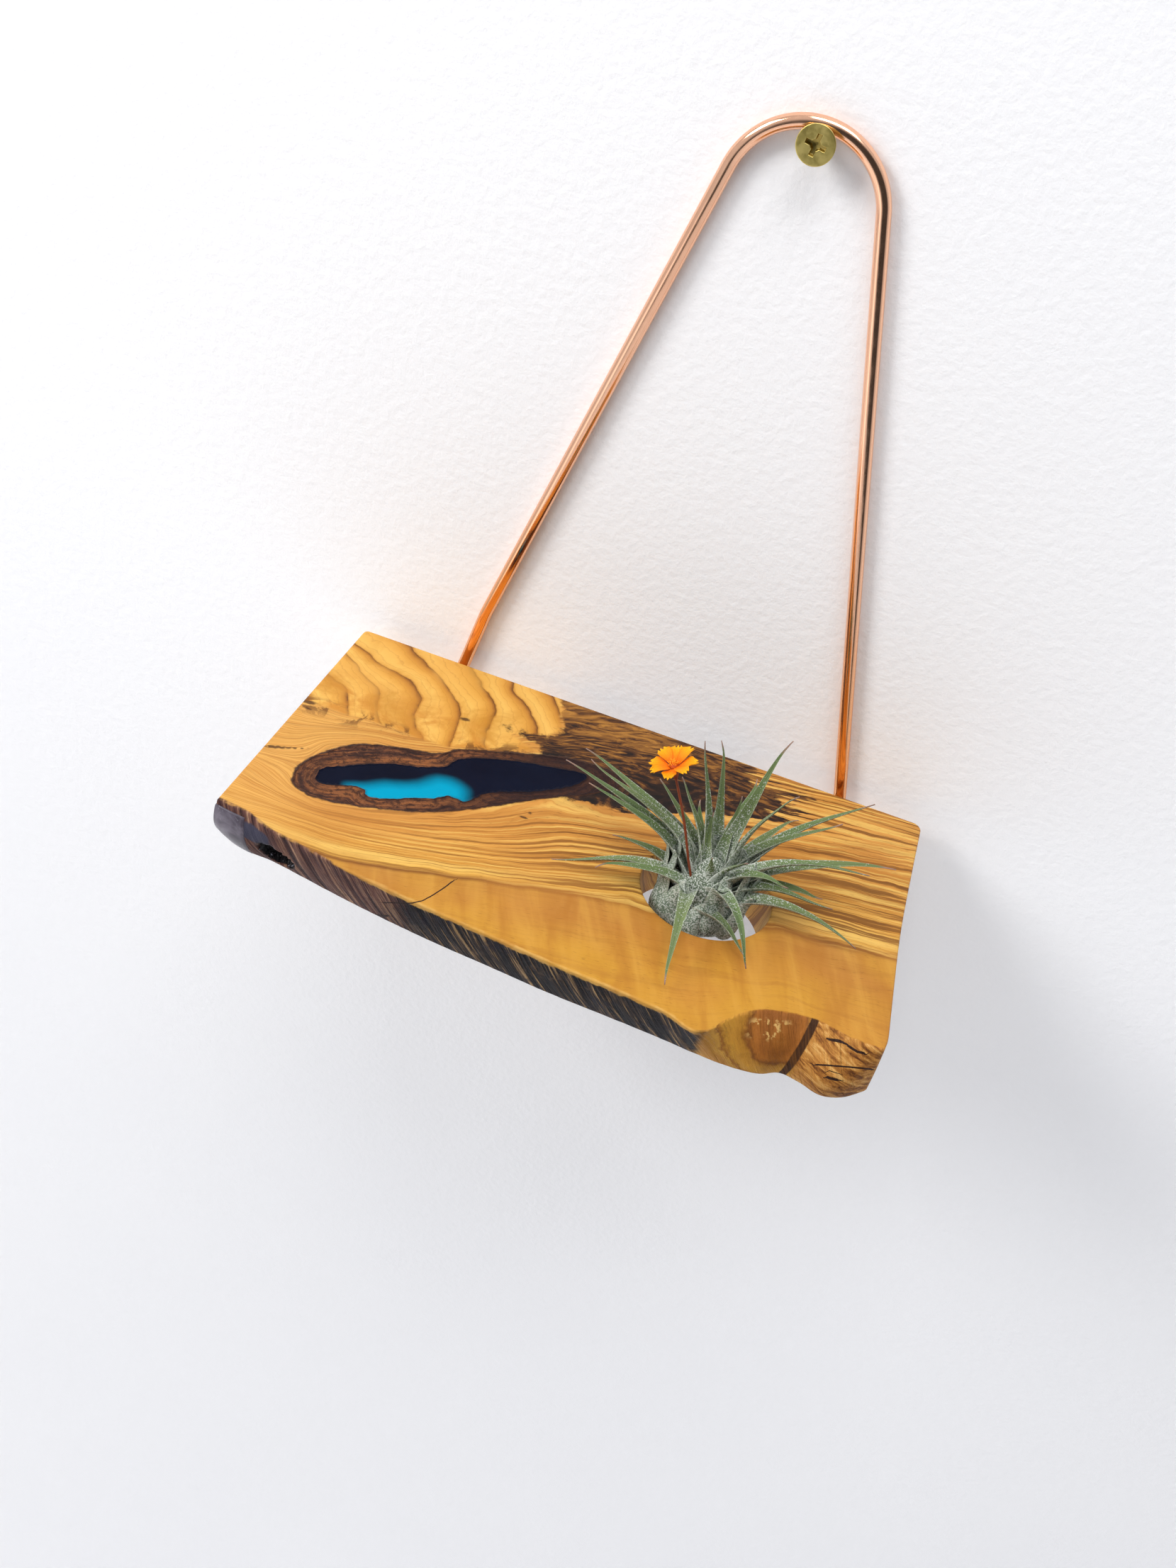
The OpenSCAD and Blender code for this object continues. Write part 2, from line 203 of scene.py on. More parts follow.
WALL_X, WALL_TOP, FLOOR_Z, FLOOR_Y = 1500, 1300, -900, -2200
quad("wall", [(-WALL_X, 0, FLOOR_Z), (WALL_X, 0, FLOOR_Z), (WALL_X, 0, WALL_TOP), (-WALL_X, 0, WALL_TOP)],
     wall_mat)
quad("floor", [(-WALL_X, FLOOR_Y, FLOOR_Z), (WALL_X, FLOOR_Y, FLOOR_Z), (WALL_X, 0, FLOOR_Z),
               (-WALL_X, 0, FLOOR_Z)], wall_mat)

# The room is pale all round, and dark behind the camera, which draws the dark streaks down the rod.
world = bpy.data.worlds.new("room")
bpy.context.scene.world = world
world.use_nodes = True
tree = world.node_tree
toward = node("TexCoord", output="Generated")
facing = part(toward, 1) * -0.9 + part(toward, 0) * 0.42
sky = tree.nodes["Background"].inputs
sky["Color"].default_value = (0.93, 0.95, 1.0, 1)
tree.links.new(span(facing, 0.62, 0.86, 0.70, 0.06).socket, sky["Strength"])


def lamp(name, place, target, size, power, colour):
    """A square soft lamp at place, facing target, in mm."""
    light = bpy.data.lights.new(name, "AREA")
    light.shape, light.size, light.size_y = "RECTANGLE", size[0] * MM, size[1] * MM
    light.energy, light.color = power, colour
    lamp_object = show(name, light)
    lamp_object.location = Vector(place) * MM
    lamp_object.rotation_mode = "QUATERNION"
    lamp_object.rotation_quaternion = (Vector(target) - Vector(place)).to_track_quat("-Z", "Y")


lamp("window", (-980, -700, 640), (0, 0, -100), (460, 520), 11.4, (1.0, 0.99, 0.975))
lamp("ceiling", (100, -500, 1200), (0, 0, -100), (900, 500), 11.5, (1.0, 1.0, 1.0))
lamp("low fill", (-700, -900, -500), (-150, 0, -200), (500, 500), 0.5, (1.0, 1.0, 1.0))

camera_data = bpy.data.cameras.new("camera")
camera_data.sensor_width, camera_data.lens = 36.0, 34.08
camera_data.clip_start, camera_data.clip_end = 0.01, 20
camera = show("camera", camera_data)
right, down, ahead = (0.9353, 0.2928, 0.1989), (0.3346, -0.5484, -0.7664), (-0.1153, 0.7833, -0.6108)
turn = Matrix((right, [-v for v in down], [-v for v in ahead])).transposed()
camera.rotation_mode = "QUATERNION"
camera.rotation_quaternion = turn.to_quaternion()
camera.location = Vector((34.32, -321.54, 74.17)) * MM
bpy.context.scene.camera = camera
bpy.context.scene.view_settings.view_transform = "Standard"

# ---------------------------------------------------------------- Wood slab
# A slice of olive wood with its natural front edge, sanded and oiled. Round hole bored through for the plant.
# The shelf is laid out from its back left top corner; SHELF moves that corner into the shared frame.

SHELF = np.array([-80.28, -7.0, -147.33])
THICK = 13.0
FRONT_END = 155.4
PIT_X, PIT_DOWN = 16.2, 8.2
KNOT_X, KNOT_DOWN, GROOVE_X = 132.8, 3.0, 140.2
BARK_RAGGED = (0.35, 1.1, 3)
EASE = 0.45
HOLE = (109.0, -53.3, 15.5)
# The front edge: x, its distance from the back at the top and at the bottom, and how far it bulges between
STATIONS = np.array([(0, 80.7, 77, 2.5), (4, 81.2, 79, 2.5), (8, 81.8, 80, 2.2), (14, 84.2, 80.3, 1.4),
                     (22, 85.7, 81.6, 0.8), (30, 87.2, 83, 0.8), (45, 89, 85.2, 0.6), (56, 90.2, 86.4, 0.5),
                     (70, 91.4, 87.4, 0.5), (84, 92.5, 88.5, 0.5), (100, 93.4, 89, 0.5),
                     (110, 94.3, 89.4, 0.5), (119, 95.6, 90, 0.5), (124, 88.2, 90.2, 2.2),
                     (128, 84.6, 90, 2.6), (133, 82.4, 89, 3), (137, 81.4, 86.7, 2.4), (141, 81.2, 87.1, 3),
                     (147, 82.4, 88.6, 3), (152, 82.6, 86.3, 2.2), (155.4, 82.3, 83, 0.5)])
RIGHT_END = np.array([(156, 75), (155.2, 62), (154.3, 45), (154, 20), (154, 2.5)])
HATCH_LINE = [(21.5, -61), (28.5, -56), (36, -50.2), (42, -46), (49, -46.8), (47, -51.5), (38.5, -56.6),
              (30.5, -61.2)]
BARK_LINE = [(10.4, -62), (12.6, -54.5), (18.5, -46.5), (27.5, -42.3), (36.5, -39.5), (41, -34.8),
             (52, -29.5), (64, -24), (76, -22.5), (80, -26), (74, -34), (64, -42), (55, -50.5), (44, -59.5),
             (32, -65.3), (20, -68.8), (12.8, -67.8)]


def through(x, xs, ys):
    """Smooth curve through (xs, ys): cubic pieces whose slopes are those between the neighbours."""
    xs, ys = np.asarray(xs, float), np.asarray(ys, float)
    slope = np.gradient(ys, xs)
    k = np.clip(np.searchsorted(xs, x) - 1, 0, len(xs) - 2)
    h = xs[k + 1] - xs[k]
    u = (x - xs[k]) / h
    return ((2 * u**3 - 3 * u**2 + 1) * ys[k] + (u**3 - 2 * u**2 + u) * h * slope[k]
            + (3 * u**2 - 2 * u**3) * ys[k + 1] + (u**3 - u**2) * h * slope[k + 1])


def waves(p, scale, seed, octaves=4):
    """Smooth noise from -1 to 1 of points p: a sum of sines in seeded directions, each octave finer and
    weaker."""
    rng = np.random.default_rng(seed)
    total, weight = 0.0, 0.0
    for k in range(octaves):
        for _ in range(4):
            d = rng.normal(size=p.shape[-1])
            total = total + 0.6**k * np.sin(p @ d * 2**k * scale + rng.uniform(0, 6.28))
            weight += 0.6**k
    return total / weight * 1.8


def front_edge(x, level):
    """How far the front edge lies from the back edge: eased from the top line to the bottom line, and
    bulged."""
    a, b, c = (through(x, STATIONS[:, 0], STATIONS[:, k]) for k in (1, 2, 3))
    return a + (b - a) * level + c * np.sin(np.pi * level)


def pairs(x, y):
    """Points (x, y), with y or x repeated where it is one number."""
    return np.stack(np.broadcast_arrays(x, y), -1)


def at_height(points, z):
    """Flat points at one height."""
    return np.concatenate([points, np.full((len(points), 1), z)], 1)


def slab_ring(level):
    """Closed outline of the slab at a level from 0, the top, to 1, the underside, as (points, 2)."""
    x = np.arange(0, FRONT_END, 0.7)
    f = np.linspace(0, 1, 112)[1:-1]
    left_y = -(1.4 + f * (front_edge(np.zeros(1), level) - 1.4))
    reach = front_edge(np.full(1, FRONT_END), level)
    right_y = -(reach + f * (2.5 - reach))
    right_x = through(-right_y, RIGHT_END[::-1, 1], RIGHT_END[::-1, 0])
    right_x = right_x - 0.6 * np.exp(-((-right_y - reach) / 2.5)**2)
    corner = np.radians(np.linspace(10, 80, 6))
    left_x, left_back = 1.3 - 1.3 * np.sin(corner), -1.3 + 1.3 * np.cos(corner)
    parts = [pairs(0, left_y), pairs(x, -front_edge(x, level)), pairs(right_x, right_y)]
    parts.append(pairs(151.5 + 2.5 * np.cos(corner), -2.5 + 2.5 * np.sin(corner)))
    return np.concatenate(parts + [pairs(np.arange(151.0, 1.3, -1.0), 0), pairs(left_x, left_back)])


def unit(v):
    """Vectors at length 1."""
    return v / np.linalg.norm(v, axis=-1, keepdims=True)


def outward(loop):
    """Unit normal of a closed loop that runs anticlockwise seen from above, on its outer side."""
    along = np.roll(loop, -1, 0) - np.roll(loop, 1, 0)
    return unit(np.stack([along[:, 1], -along[:, 0]], 1))


def closed_curve(points, steps):
    """Closed smooth curve through the points, with steps pieces between each two (the source's own
    formula)."""
    b = np.array(points, float)
    a, c, d = np.roll(b, 1, 0), np.roll(b, -1, 0), np.roll(b, -2, 0)
    u = (np.arange(steps) / steps)[None, :, None]
    a, b, c, d = (v[:, None, :] for v in (a, b, c, d))
    w = 0.5 * (2 * b + (c - a) * u + (2 * a - 5 * b + 4 * c - d) * u**2 + (3 * b - a - 3 * c + d) * u**3)
    return w.reshape(-1, 2)


def ragged(loop, size, scale, seed):
    """The loop with each point moved along its normal by noise of that size."""
    return loop + outward(loop) * (size * waves(loop, scale, seed, 5))[:, None]


def strips(count, n, flip=False):
    """Quads between that many rings of n points, each ring a closed loop."""
    r, k = np.meshgrid(np.arange(count - 1) * n, np.arange(n), indexing="ij")
    a, b = r + k, r + (k + 1) % n
    quads = np.stack([a, b, b + n, a + n], -1).reshape(-1, 4)
    return (quads[:, ::-1] if flip else quads).tolist()


class Solid:
    """A mesh gathered part by part."""

    def __init__(self):
        self.points, self.faces, self.count = [], [], 0

    def add(self, points, faces=()):
        """Adds points, and faces numbered over them. Returns the number of the first point."""
        start = self.count
        self.points.append(points)
        self.faces += [[start + v for v in f] for f in faces]
        self.count += len(points)
        return start

    def plate(self, loops, starts, z, spacing, up):
        """Fills the first loop less the others with triangles, over new inner points on a lattice at height
        z. Each loop's points are in the mesh already, from its start on."""
        lo, hi = loops[0].min(0), loops[0].max(0)
        gx, gy = np.meshgrid(np.arange(lo[0], hi[0], spacing), np.arange(lo[1], hi[1], spacing * 0.87))
        gx = gx + (np.arange(gx.shape[0]) % 2)[:, None] * spacing / 2
        inner = np.stack([gx, gy], -1).reshape(-1, 2)
        keep = np.ones(len(inner), bool)
        for k, loop in enumerate(loops):
            d, inside = to_outline(inner, loop)
            keep &= (inside if k == 0 else ~inside) & (d > 0.5 * spacing)
        inner = inner[keep]
        flat = np.concatenate([*loops, inner])
        edges, at = [], 0
        for loop in loops:
            edges += [(at + i, at + (i + 1) % len(loop)) for i in range(len(loop))]
            at += len(loop)
        _, _, faces, origin, _, _ = delaunay_2d_cdt([Vector(p) for p in flat], edges, [], 1, 1e-7, True)
        corners = np.array([o[0] for o in origin])[np.array([list(f) for f in faces])]
        middle = flat[corners].mean(1)
        wanted = to_outline(middle, loops[0])[1]
        for loop in loops[1:]:
            wanted &= ~to_outline(middle, loop)[1]
        number = np.concatenate([s + np.arange(len(q)) for s,
                                 q in zip([*starts, self.count], [*loops, inner])])
        tri = number[corners[wanted]]
        self.faces += (tri if up else tri[:, ::-1]).tolist()
        self.add(at_height(inner, z))

    def shape(self):
        """All of it, as (points, faces)."""
        return np.concatenate(self.points), self.faces


def to_outline(p, loop):
    """Distance of points p to a closed loop, and whether each is inside it (even-odd rule), in batches."""
    a, b = loop, np.roll(loop, -1, 0)
    ab = b - a
    best, crossings = np.full(len(p), 1e9), np.zeros(len(p), int)
    for k in range(len(a)):
        rel = p - a[k]
        u = np.clip(rel @ ab[k] / max(ab[k] @ ab[k], 1e-12), 0, 1)
        best = np.minimum(best, np.hypot(*(rel - u[:, None] * ab[k]).T))
        spans = (a[k, 1] > p[:, 1]) != (b[k, 1] > p[:, 1])
        with np.errstate(divide="ignore", invalid="ignore"):
            crossings += spans & (p[:, 0] < a[k, 0] + (p[:, 1] - a[k, 1]) * ab[k, 0] / ab[k, 1])
    return best, crossings % 2 == 1


def piece(name, shape, body, stands_for, mat):
    """A mesh in the shared frame from (points, faces) in mm laid out on the shelf, riding on a body in place
    of a CAD node."""
    mesh = bpy.data.meshes.new(name)
    mesh.from_pydata(((np.asarray(shape[0]) + SHELF) * MM).tolist(), [], shape[1])
    mesh.polygons.foreach_set("use_smooth", np.ones(len(mesh.polygons), bool))
    mesh.materials.append(mat)
    made = show(name, mesh)
    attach(made, body)
    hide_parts(stands_for)
    return made


def laid_out(made):
    """A piece's points in mm on the shelf."""
    p = np.zeros(len(made.data.vertices) * 3, np.float32)
    made.data.vertices.foreach_get("co", p)
    return p.reshape(-1, 3).astype(float) / MM - SHELF


def fields(made, **values):
    """Stores one number per vertex under each name, for the material to read."""
    for name, numbers in values.items():
        layer = made.data.attributes.new(name, "FLOAT", "POINT")
        layer.data.foreach_set("value", np.asarray(numbers, np.float32))


# Grain: each line of growth is (value, points it passes through). The values rise towards the front.
GROWTH = [
    (14, [(0, -38), (12, -38), (24, -35), (34, -30), (42, -20), (52, -10), (64, -2)]),
    (22, [(0, -44), (8, -42.5), (18, -39), (28, -36.5), (36, -33), (46, -24), (58, -14), (72, -8),
          (90, -3)]),
    (30, [(0, -52), (6, -50), (12, -45), (20, -41), (38, -35.5), (50, -27), (62, -19), (75, -14), (95, -9),
          (112, -7), (130, -3.5), (154, -0.5)]),
    (38, [(0, -60), (5, -59), (9, -56), (12, -50), (22, -43), (38, -38), (56, -27), (66, -22), (78, -19),
          (95, -16), (112, -13), (130, -10.5), (154, -7)]),
    (46, [(0, -66), (6, -68), (12, -70.5), (20, -71.5), (30, -69), (40, -64.5), (48, -60), (55, -55),
          (60, -50), (65, -46), (72, -43), (80, -41), (90, -38), (105, -32), (120, -25), (135, -20),
          (154, -15.5)]),
    (54, [(0, -73), (10, -74), (20, -74), (30, -72.5), (40, -69.5), (50, -65.5), (60, -61), (68, -56),
          (74, -52), (80, -49.5), (90, -46), (105, -41), (120, -35), (137, -30), (154, -27)]),
    (62, [(0, -78), (10, -77.5), (20, -76.5), (30, -76), (40, -73.5), (50, -70.5), (60, -67), (70, -62),
          (80, -57), (90, -53), (105, -48.5), (124, -42), (140, -38.5), (154, -36)]),
    (70, [(12, -80.5), (22, -80), (30, -79.5), (40, -77.5), (50, -74.5), (60, -71), (70, -67.5), (80, -63),
          (90, -58.5), (105, -54), (124, -48.5), (140, -45.5), (154, -43.5)]),
    (76, [(18, -84), (30, -83.5), (40, -81), (50, -77.5), (60, -74), (70, -70.5), (80, -66.5), (92, -62),
          (105, -58), (125, -53), (140, -51.5), (154, -49.5)]),
    (80, [(28, -86.3), (40, -83.7), (50, -80.3), (60, -77), (70, -74.3), (80, -70.7), (90, -68.2),
          (100, -66.3), (112, -63), (125, -59), (135, -57), (145, -55.3), (154, -53.8)]),
    (88, [(48, -87.5), (60, -84), (70, -81.5), (85, -77.5), (100, -74), (115, -70), (130, -66), (154, -62)]),
    (96, [(60, -90), (80, -86), (100, -82), (115, -79.5), (125, -77), (140, -74), (156, -71)]),
    (104, [(90, -93), (105, -90), (115, -87), (125, -82), (135, -78.5), (145, -78), (156, -78)])]
# The wavy figure at the back left, one unit from each dark line to the next
FLAME = [
    (0, [(0, -23), (6, -27), (10, -33)]),
    (1, [(0, -12.5), (5, -16), (9, -19.5), (13, -23), (15.5, -26), (16, -29), (18, -33)]),
    (2, [(0, -7.5), (4, -9.3), (8, -11.6), (13, -13.2), (18, -14.6), (21, -17), (25, -20.5), (25.5, -24),
         (26, -28.5), (28, -32), (31, -34.5)]),
    (2.5, [(2, -1), (12, -6.5), (22, -11.5), (29, -18.5)]),
    (3, [(12, 0), (17, -3.5), (24, -8.5), (29, -13), (33, -17), (35, -20), (36, -24), (37, -30), (38, -35)]),
    (3.5, [(20, 1), (28, -5.5), (38, -16.5)]),
    (4, [(29, 0), (35, -5), (40, -11), (43, -15), (43.5, -18), (44, -24), (46, -30)]),
    (5, [(42, 0), (44, -5), (49, -9), (52, -12), (54.5, -15), (55.5, -18), (56, -25)]),
    (6, [(53, 1), (56, -4), (60, -10)])]
FLAME_ZONE = [(-6, 6), (52, 6), (57, -3), (58, -8), (60, -14), (57, -19), (50, -22), (57, -25), (52, -28),
              (46, -31), (38, -35.5), (30, -36), (22, -36.5), (12, -37), (0, -37), (-6, -37)]
HEART_ZONE = [(52, 6), (57, -3), (59, -8), (60, -14), (58, -18), (46, -19.3), (50, -21.2), (58, -22.5),
              (57.5, -26), (46, -32), (40, -36), (41, -40), (50, -52), (62, -41), (66, -40), (76, -37.5),
              (84, -35.5), (90, -33.5), (94, -32), (100, -28), (108, -24), (114, -22), (118, -19),
              (122, -14), (124, -11), (118, -9.5), (128, -4.5), (118, -4.5), (112, -5.8), (110, -3),
              (108, 6)]


def growth_field(p, lines):
    """Value at points p of a thin plate bent through all the lines' points (radial basis r^2 log r, plus a
    plane)."""
    q = np.array([xy for _, line in lines for xy in line], float)
    v = np.array([value for value, line in lines for _ in line], float)

    def kernel(d2):
        return 0.5 * d2 * np.log(d2 + 1e-9)

    def plane(c):
        return np.concatenate([np.ones((len(c), 1)), c / 50], 1)

    d2 = ((q[:, None] - q[None])**2).sum(-1)
    system = np.block([[kernel(d2) + 2.0 * np.eye(len(q)), plane(q)], [plane(q).T, np.zeros((3, 3))]])
    w = np.linalg.solve(system, np.concatenate([v, np.zeros(3)]))
    return kernel(((p[:, None] - q[None])**2).sum(-1)) @ w[:-3] + plane(p) @ w[-3:]


def zone(p, outline):
    """Signed distance to an outline: above 0 inside it."""
    d, inside = to_outline(p, np.array(outline, float))
    return np.where(inside, d, -d)


# Small dark knots and smudges on the top: centre, half length, half width, turn in degrees
MARKS = [(1.4, -37.3, 2.8, 0.8, 12), (2.2, -39.6, 2.0, 0.5, -8), (2.2, -57.6, 3.2, 0.6, 24),
         (7.2, -55.0, 2.8, 0.35, 26), (37.2, -22.6, 1.5, 0.8, 15), (63.9, -48.6, 0.7, 0.5, 60),
         (63.0, -50.6, 1.3, 0.3, 0)]
# Thin dark lines as (half width, points): x and the distance from the back, unrolled over the edge
INK = [
    (0.17, [(56.4, -79.4), (55.2, -83), (54.1, -85.9), (52.8, -88.6), (51, -90.3), (48.4, -91.4),
            (44, -93.2)]),
    (0.30, [(45, -96.6), (42, -97.6), (38, -97.9), (35.5, -98.3)]),
    (0.26, [(143.5, -93.2), (147, -91.6), (151, -90.0), (155, -88.6)]),
    (0.5, [(144.6, -84.6), (146.4, -84.2)]),
    (0.4, [(148.6, -84.8), (150.6, -85.4), (151.6, -85.0)]),
    (0.45, [(146.6, -95.6), (148.2, -95.2)])]


def ink_lines(p):
    """Signed distance to the nearest ink line (left of it above 0) over its half width, for unrolled points
    p. Far from every line the result is large."""
    best, answer = np.full(len(p), 1e9), np.full(len(p), 99.0)
    for half, line in INK:
        line = np.array(line, float)
        for a, b in zip(line[:-1], line[1:]):
            rel, along = p - a, b - a
            u = np.clip(rel @ along / (along @ along), 0, 1)
            off = np.hypot(*(rel - u[:, None] * along).T)
            sign = np.where(along[0] * rel[:, 1] - along[1] * rel[:, 0] < 0, -1.0, 1.0)
            closer = off < best
            best = np.where(closer, off, best)
            answer = np.where(closer, np.where(off < 1.8, sign * off / half, 99.0), answer)
    return answer


def wood_fields(made):
    """The grain's numbers at each vertex. The growth layers lean with depth, so the sides and underside
    match."""
    p = laid_out(made)
    x, y, z = p.T
    layer = p[:, :2] + p[:, 2:] * np.array([0.12, 0.45])
    reach = front_edge(np.clip(x, 0, FRONT_END), np.clip(-z / THICK, 0, 1))
    on_edge = np.clip(-y - reach + 1.0 + hollow(x, -z), -5, 5)
    marks = np.zeros(len(p))
    for at_x, at_y, long, wide, turn_by in MARKS:
        c, s = math.cos(math.radians(turn_by)), math.sin(math.radians(turn_by))
        dx, dy = x - at_x, y - at_y
        marks += np.exp(-((dx * c + dy * s) / long)**2 - ((dy * c - dx * s) / wide)**2) * (z > -1)
    fields(made, growth=growth_field(layer, GROWTH), waved=growth_field(layer, FLAME),
           flame_zone=zone(layer, FLAME_ZONE), heart_zone=zone(layer, HEART_ZONE),
           bark_zone=zone(p[:, :2], closed_curve(BARK_LINE, 4)), edge=on_edge, marks=marks,
           ink=ink_lines(np.stack([x, y + np.where(on_edge > 0.3, z, 0)], 1)))


def hollow(x, z):
    """How far the open pocket by the corner goes in behind the front edge, at depth z below the top."""
    q = ((x - PIT_X) / 4.6)**2 + ((z - PIT_DOWN - 0.22 * (x - PIT_X)) / 2.9)**2
    return 3.2 * np.sqrt(np.clip(1 - q, 0, 1))


def slab():
    """Top plate, eased rim, sides with the live edge's relief, eased bottom rim, bottom plate and the bored
    walls."""
    round_over = np.radians([0, 22.5, 45, 67.5, 90])
    ease_down, ease_in = EASE * (1 - np.cos(round_over)), EASE * (1 - np.sin(round_over))
    down = np.concatenate([ease_down, np.linspace(1.2, THICK - 1.2, 17), THICK - ease_down[::-1]])
    inset = np.concatenate([ease_in, np.zeros(17), ease_in[::-1]])
    rings = []
    for z, back in zip(down, inset):
        loop = slab_ring(z / THICK)
        x = loop[:, 0]
        front = (-loop[:, 1] > front_edge(np.clip(x, 0, FRONT_END), z / THICK) - 0.4) & (x > 9)
        ridges = waves(np.stack([0.87 * x - 0.5 * z, 0.15 * x], 1), 1.3, 21, 3)
        ridges *= 0.24 * min(1, z / 1.5, (THICK - z) / 1.5)
        rings.append(loop - outward(loop) * (back - np.where(front, ridges - hollow(x, z), 0))[:, None])
    made = Solid()
    n = len(rings[0])
    made.add(np.concatenate([at_height(q, -z) for q, z in zip(rings, down)]), strips(len(down), n, True))
    around = np.radians(np.arange(0, 360, 2.5))
    hole_down = np.concatenate([[0, 0.12, 0.35], np.linspace(0.8, THICK - 0.8, 9),
                                THICK - np.array([0.35, 0.12, 0])])
    hole_out = np.concatenate([[0.35, 0.12, 0.03], np.zeros(9), [0.03, 0.12, 0.35]])
    bore = [np.stack([HOLE[0] + (HOLE[2] + o) * np.cos(around), HOLE[1] + (HOLE[2] + o) * np.sin(around)], 1)
            for o in hole_out]
    m = len(around)
    at_bore = made.add(np.concatenate([at_height(q, -z) for q, z in zip(bore, hole_down)]),
                       strips(len(bore), m))
    pocket, hatch = ragged(closed_curve(BARK_LINE, 16), *BARK_RAGGED), closed_curve(HATCH_LINE, 12)
    b, h = len(pocket), len(hatch)
    at_wall = made.add(np.concatenate([at_height(pocket, z) for z in (0.0, -1.5)]), strips(2, b))
    at_hatch = made.add(np.concatenate([at_height(hatch, z) for z in (-THICK, 1.5 - THICK)]),
                        strips(2, h, True))
    made.plate([rings[0], bore[0], pocket], [0, at_bore, at_wall], 0.0, 0.9, True)
    made.plate([rings[-1], bore[-1], hatch], [(len(down) - 1) * n, at_bore + (len(bore) - 1) * m, at_hatch],
               -THICK, 1.8, False)
    made.plate([pocket], [at_wall + b], -1.5, 3.0, True)
    made.plate([hatch], [at_hatch + h], 1.5 - THICK, 3.0, False)
    return made.shape()


wood_mat, co = material("oiled_olive_wood")
# Shelf positions in mm: x from the left end, y from the back edge (below 0 towards the front), z from the top
X, Y, Z = (part(co, k) / MM - float(SHELF[k]) for k in range(3))
wander = noise(co, 90, 3) - 0.5
grit = noise(co, 320, 4, 0.6) - 0.5
g = wander * 2.4 + attribute("growth")
# Bands of colour across the growth, 0 to 110
bands = ramp(g / 110.0, [(0.1, 226, 160, 84), (0.28, 222, 156, 80), (0.36, 232, 168, 92),
                         (0.42, 226, 160, 84), (0.47, 214, 146, 70), (0.52, 236, 172, 90),
                         (0.56, 214, 148, 68), (0.6, 238, 176, 90), (0.645, 216, 152, 68),
                         (0.675, 250, 204, 118), (0.705, 238, 182, 92), (0.722, 142, 86, 40),
                         (0.737, 202, 142, 72), (0.8, 202, 138, 66), (0.86, 212, 152, 66),
                         (0.95, 212, 150, 66)])
streaks = noise(joined(g * 0.72, X * 0.017, Z * 0.017), 1.0, 4, 0.62)
fine = noise(joined(g * 2.6, X * 0.05, Z * 0.05), 1.0, 3, 0.6)
lined = span(g, 79.0, 81.0, 1.0, 0.0)
plain = 1.0 - lined
strong = lined * span(X, 5, 85, 0.45, 1.0)
colour = mix(span(streaks, 0.53, 0.575) * strong * 0.85, bands, lit(128, 80, 34))
close = noise(joined(g * 1.55, X * 0.02, Z * 0.02), 1.0, 3, 0.6)
colour = mix(span(close, 0.53, 0.6) * strong * span(X, 90, 125, 0.1, 0.65), colour, lit(120, 74, 32))
colour = mix(span(streaks, 0.49, 0.4) * strong * 0.8, colour, lit(252, 208, 124))
colour = mix(span(fine, 0.48, 0.72) * (lined * 0.22 + 0.24), colour, lit(150, 94, 42))
colour = mix(plain * span(noise(co, 38, 2), 0.45, 0.65, 0.0, 0.5), colour, lit(222, 166, 60))
soft = noise(joined(g * 0.3, X * 0.02, Z * 0.02), 1.0, 4, 0.6)
colour = mix(span(soft, 0.5, 0.64, 0.0, 0.35), colour, lit(180, 118, 52))
pores = noise(joined(g * 3.5, X * 0.45, Z * 0.45), 1.0, 2, 0.5)
colour = mix(span(pores, 0.6, 0.74, 0.0, 0.45), colour, lit(120, 74, 34))
colour = mix(span(noise(co, 30, 2), 0.48, 0.64, 0.0, 0.3), colour, lit(206, 138, 70))
# Soft pale and dark streaks across the plain part: ripple figure in the wood, partly a painted chatoyant
# sheen.
ripple = noise(joined((Y * 0.35 + X) * 0.16, Y * 0.035, 0.0), 1.0, 3, 0.6, 0.6)
colour = mix(plain * span(ripple, 0.46, 0.7, 0.0, 0.35), colour, lit(236, 180, 90))
colour = mix(plain * span(ripple, 0.52, 0.3, 0.0, 0.45), colour, lit(184, 118, 46))
colour = mix(span(X, 26.0, 6.0) * span(fine, 0.54, 0.4, 0.15, 0.6), colour, lit(252, 198, 120))
# Wavy figure at the back left: pale, then ochre, then a thin dark line
f = wander * 0.42 + grit * 0.09 + attribute("waved")
tooth = calc("FRACT", f + 10.0)
figure = ramp(tooth, [(0.0, 112, 68, 30), (0.02, 206, 144, 70), (0.07, 244, 188, 102), (0.3, 252, 200, 114),
                      (0.5, 248, 190, 102), (0.74, 232, 168, 78), (0.89, 206, 140, 60),
                      (0.965, 158, 100, 44), (1.0, 86, 50, 24)])
figure = mix(span(noise(co, 55, 2), 0.46, 0.64, 0.0, 0.6), figure, lit(244, 186, 100))
hair = calc("FRACT", f * 4.0 + grit * 0.8)
figure = mix(span(hair, 0.8, 0.98) * 0.26, figure, lit(176, 116, 54))
golden = span(noise(co, 150, 5, 0.6, 1.0), 0.36, 0.66, 0.0, 0.8)
figure = mix(golden * span(Y, -14.0, -31.0), figure, lit(214, 142, 58))
ochre = span(noise(co, 75, 5, 0.65, 0.8), 0.48, 0.68, 0.0, 0.6) * span(Y, -8.0, -18.0, 0.3, 1.0)
figure = mix(ochre, figure, lit(206, 142, 52))
in_flame = span(wander * 5.0 + attribute("flame_zone"), -0.6, 1.0)
colour = mix(in_flame, colour, figure)
border = abs(wander * 9.0 + attribute("flame_zone"))
smudge = span(border, 4.5, 0.8) * span(noise(co, 100, 5, 0.65, 1.5), 0.49, 0.58, 0.0, 0.8)
colour = mix(smudge * span(Y, -20.0, -27.0), colour, lit(112, 66, 30))
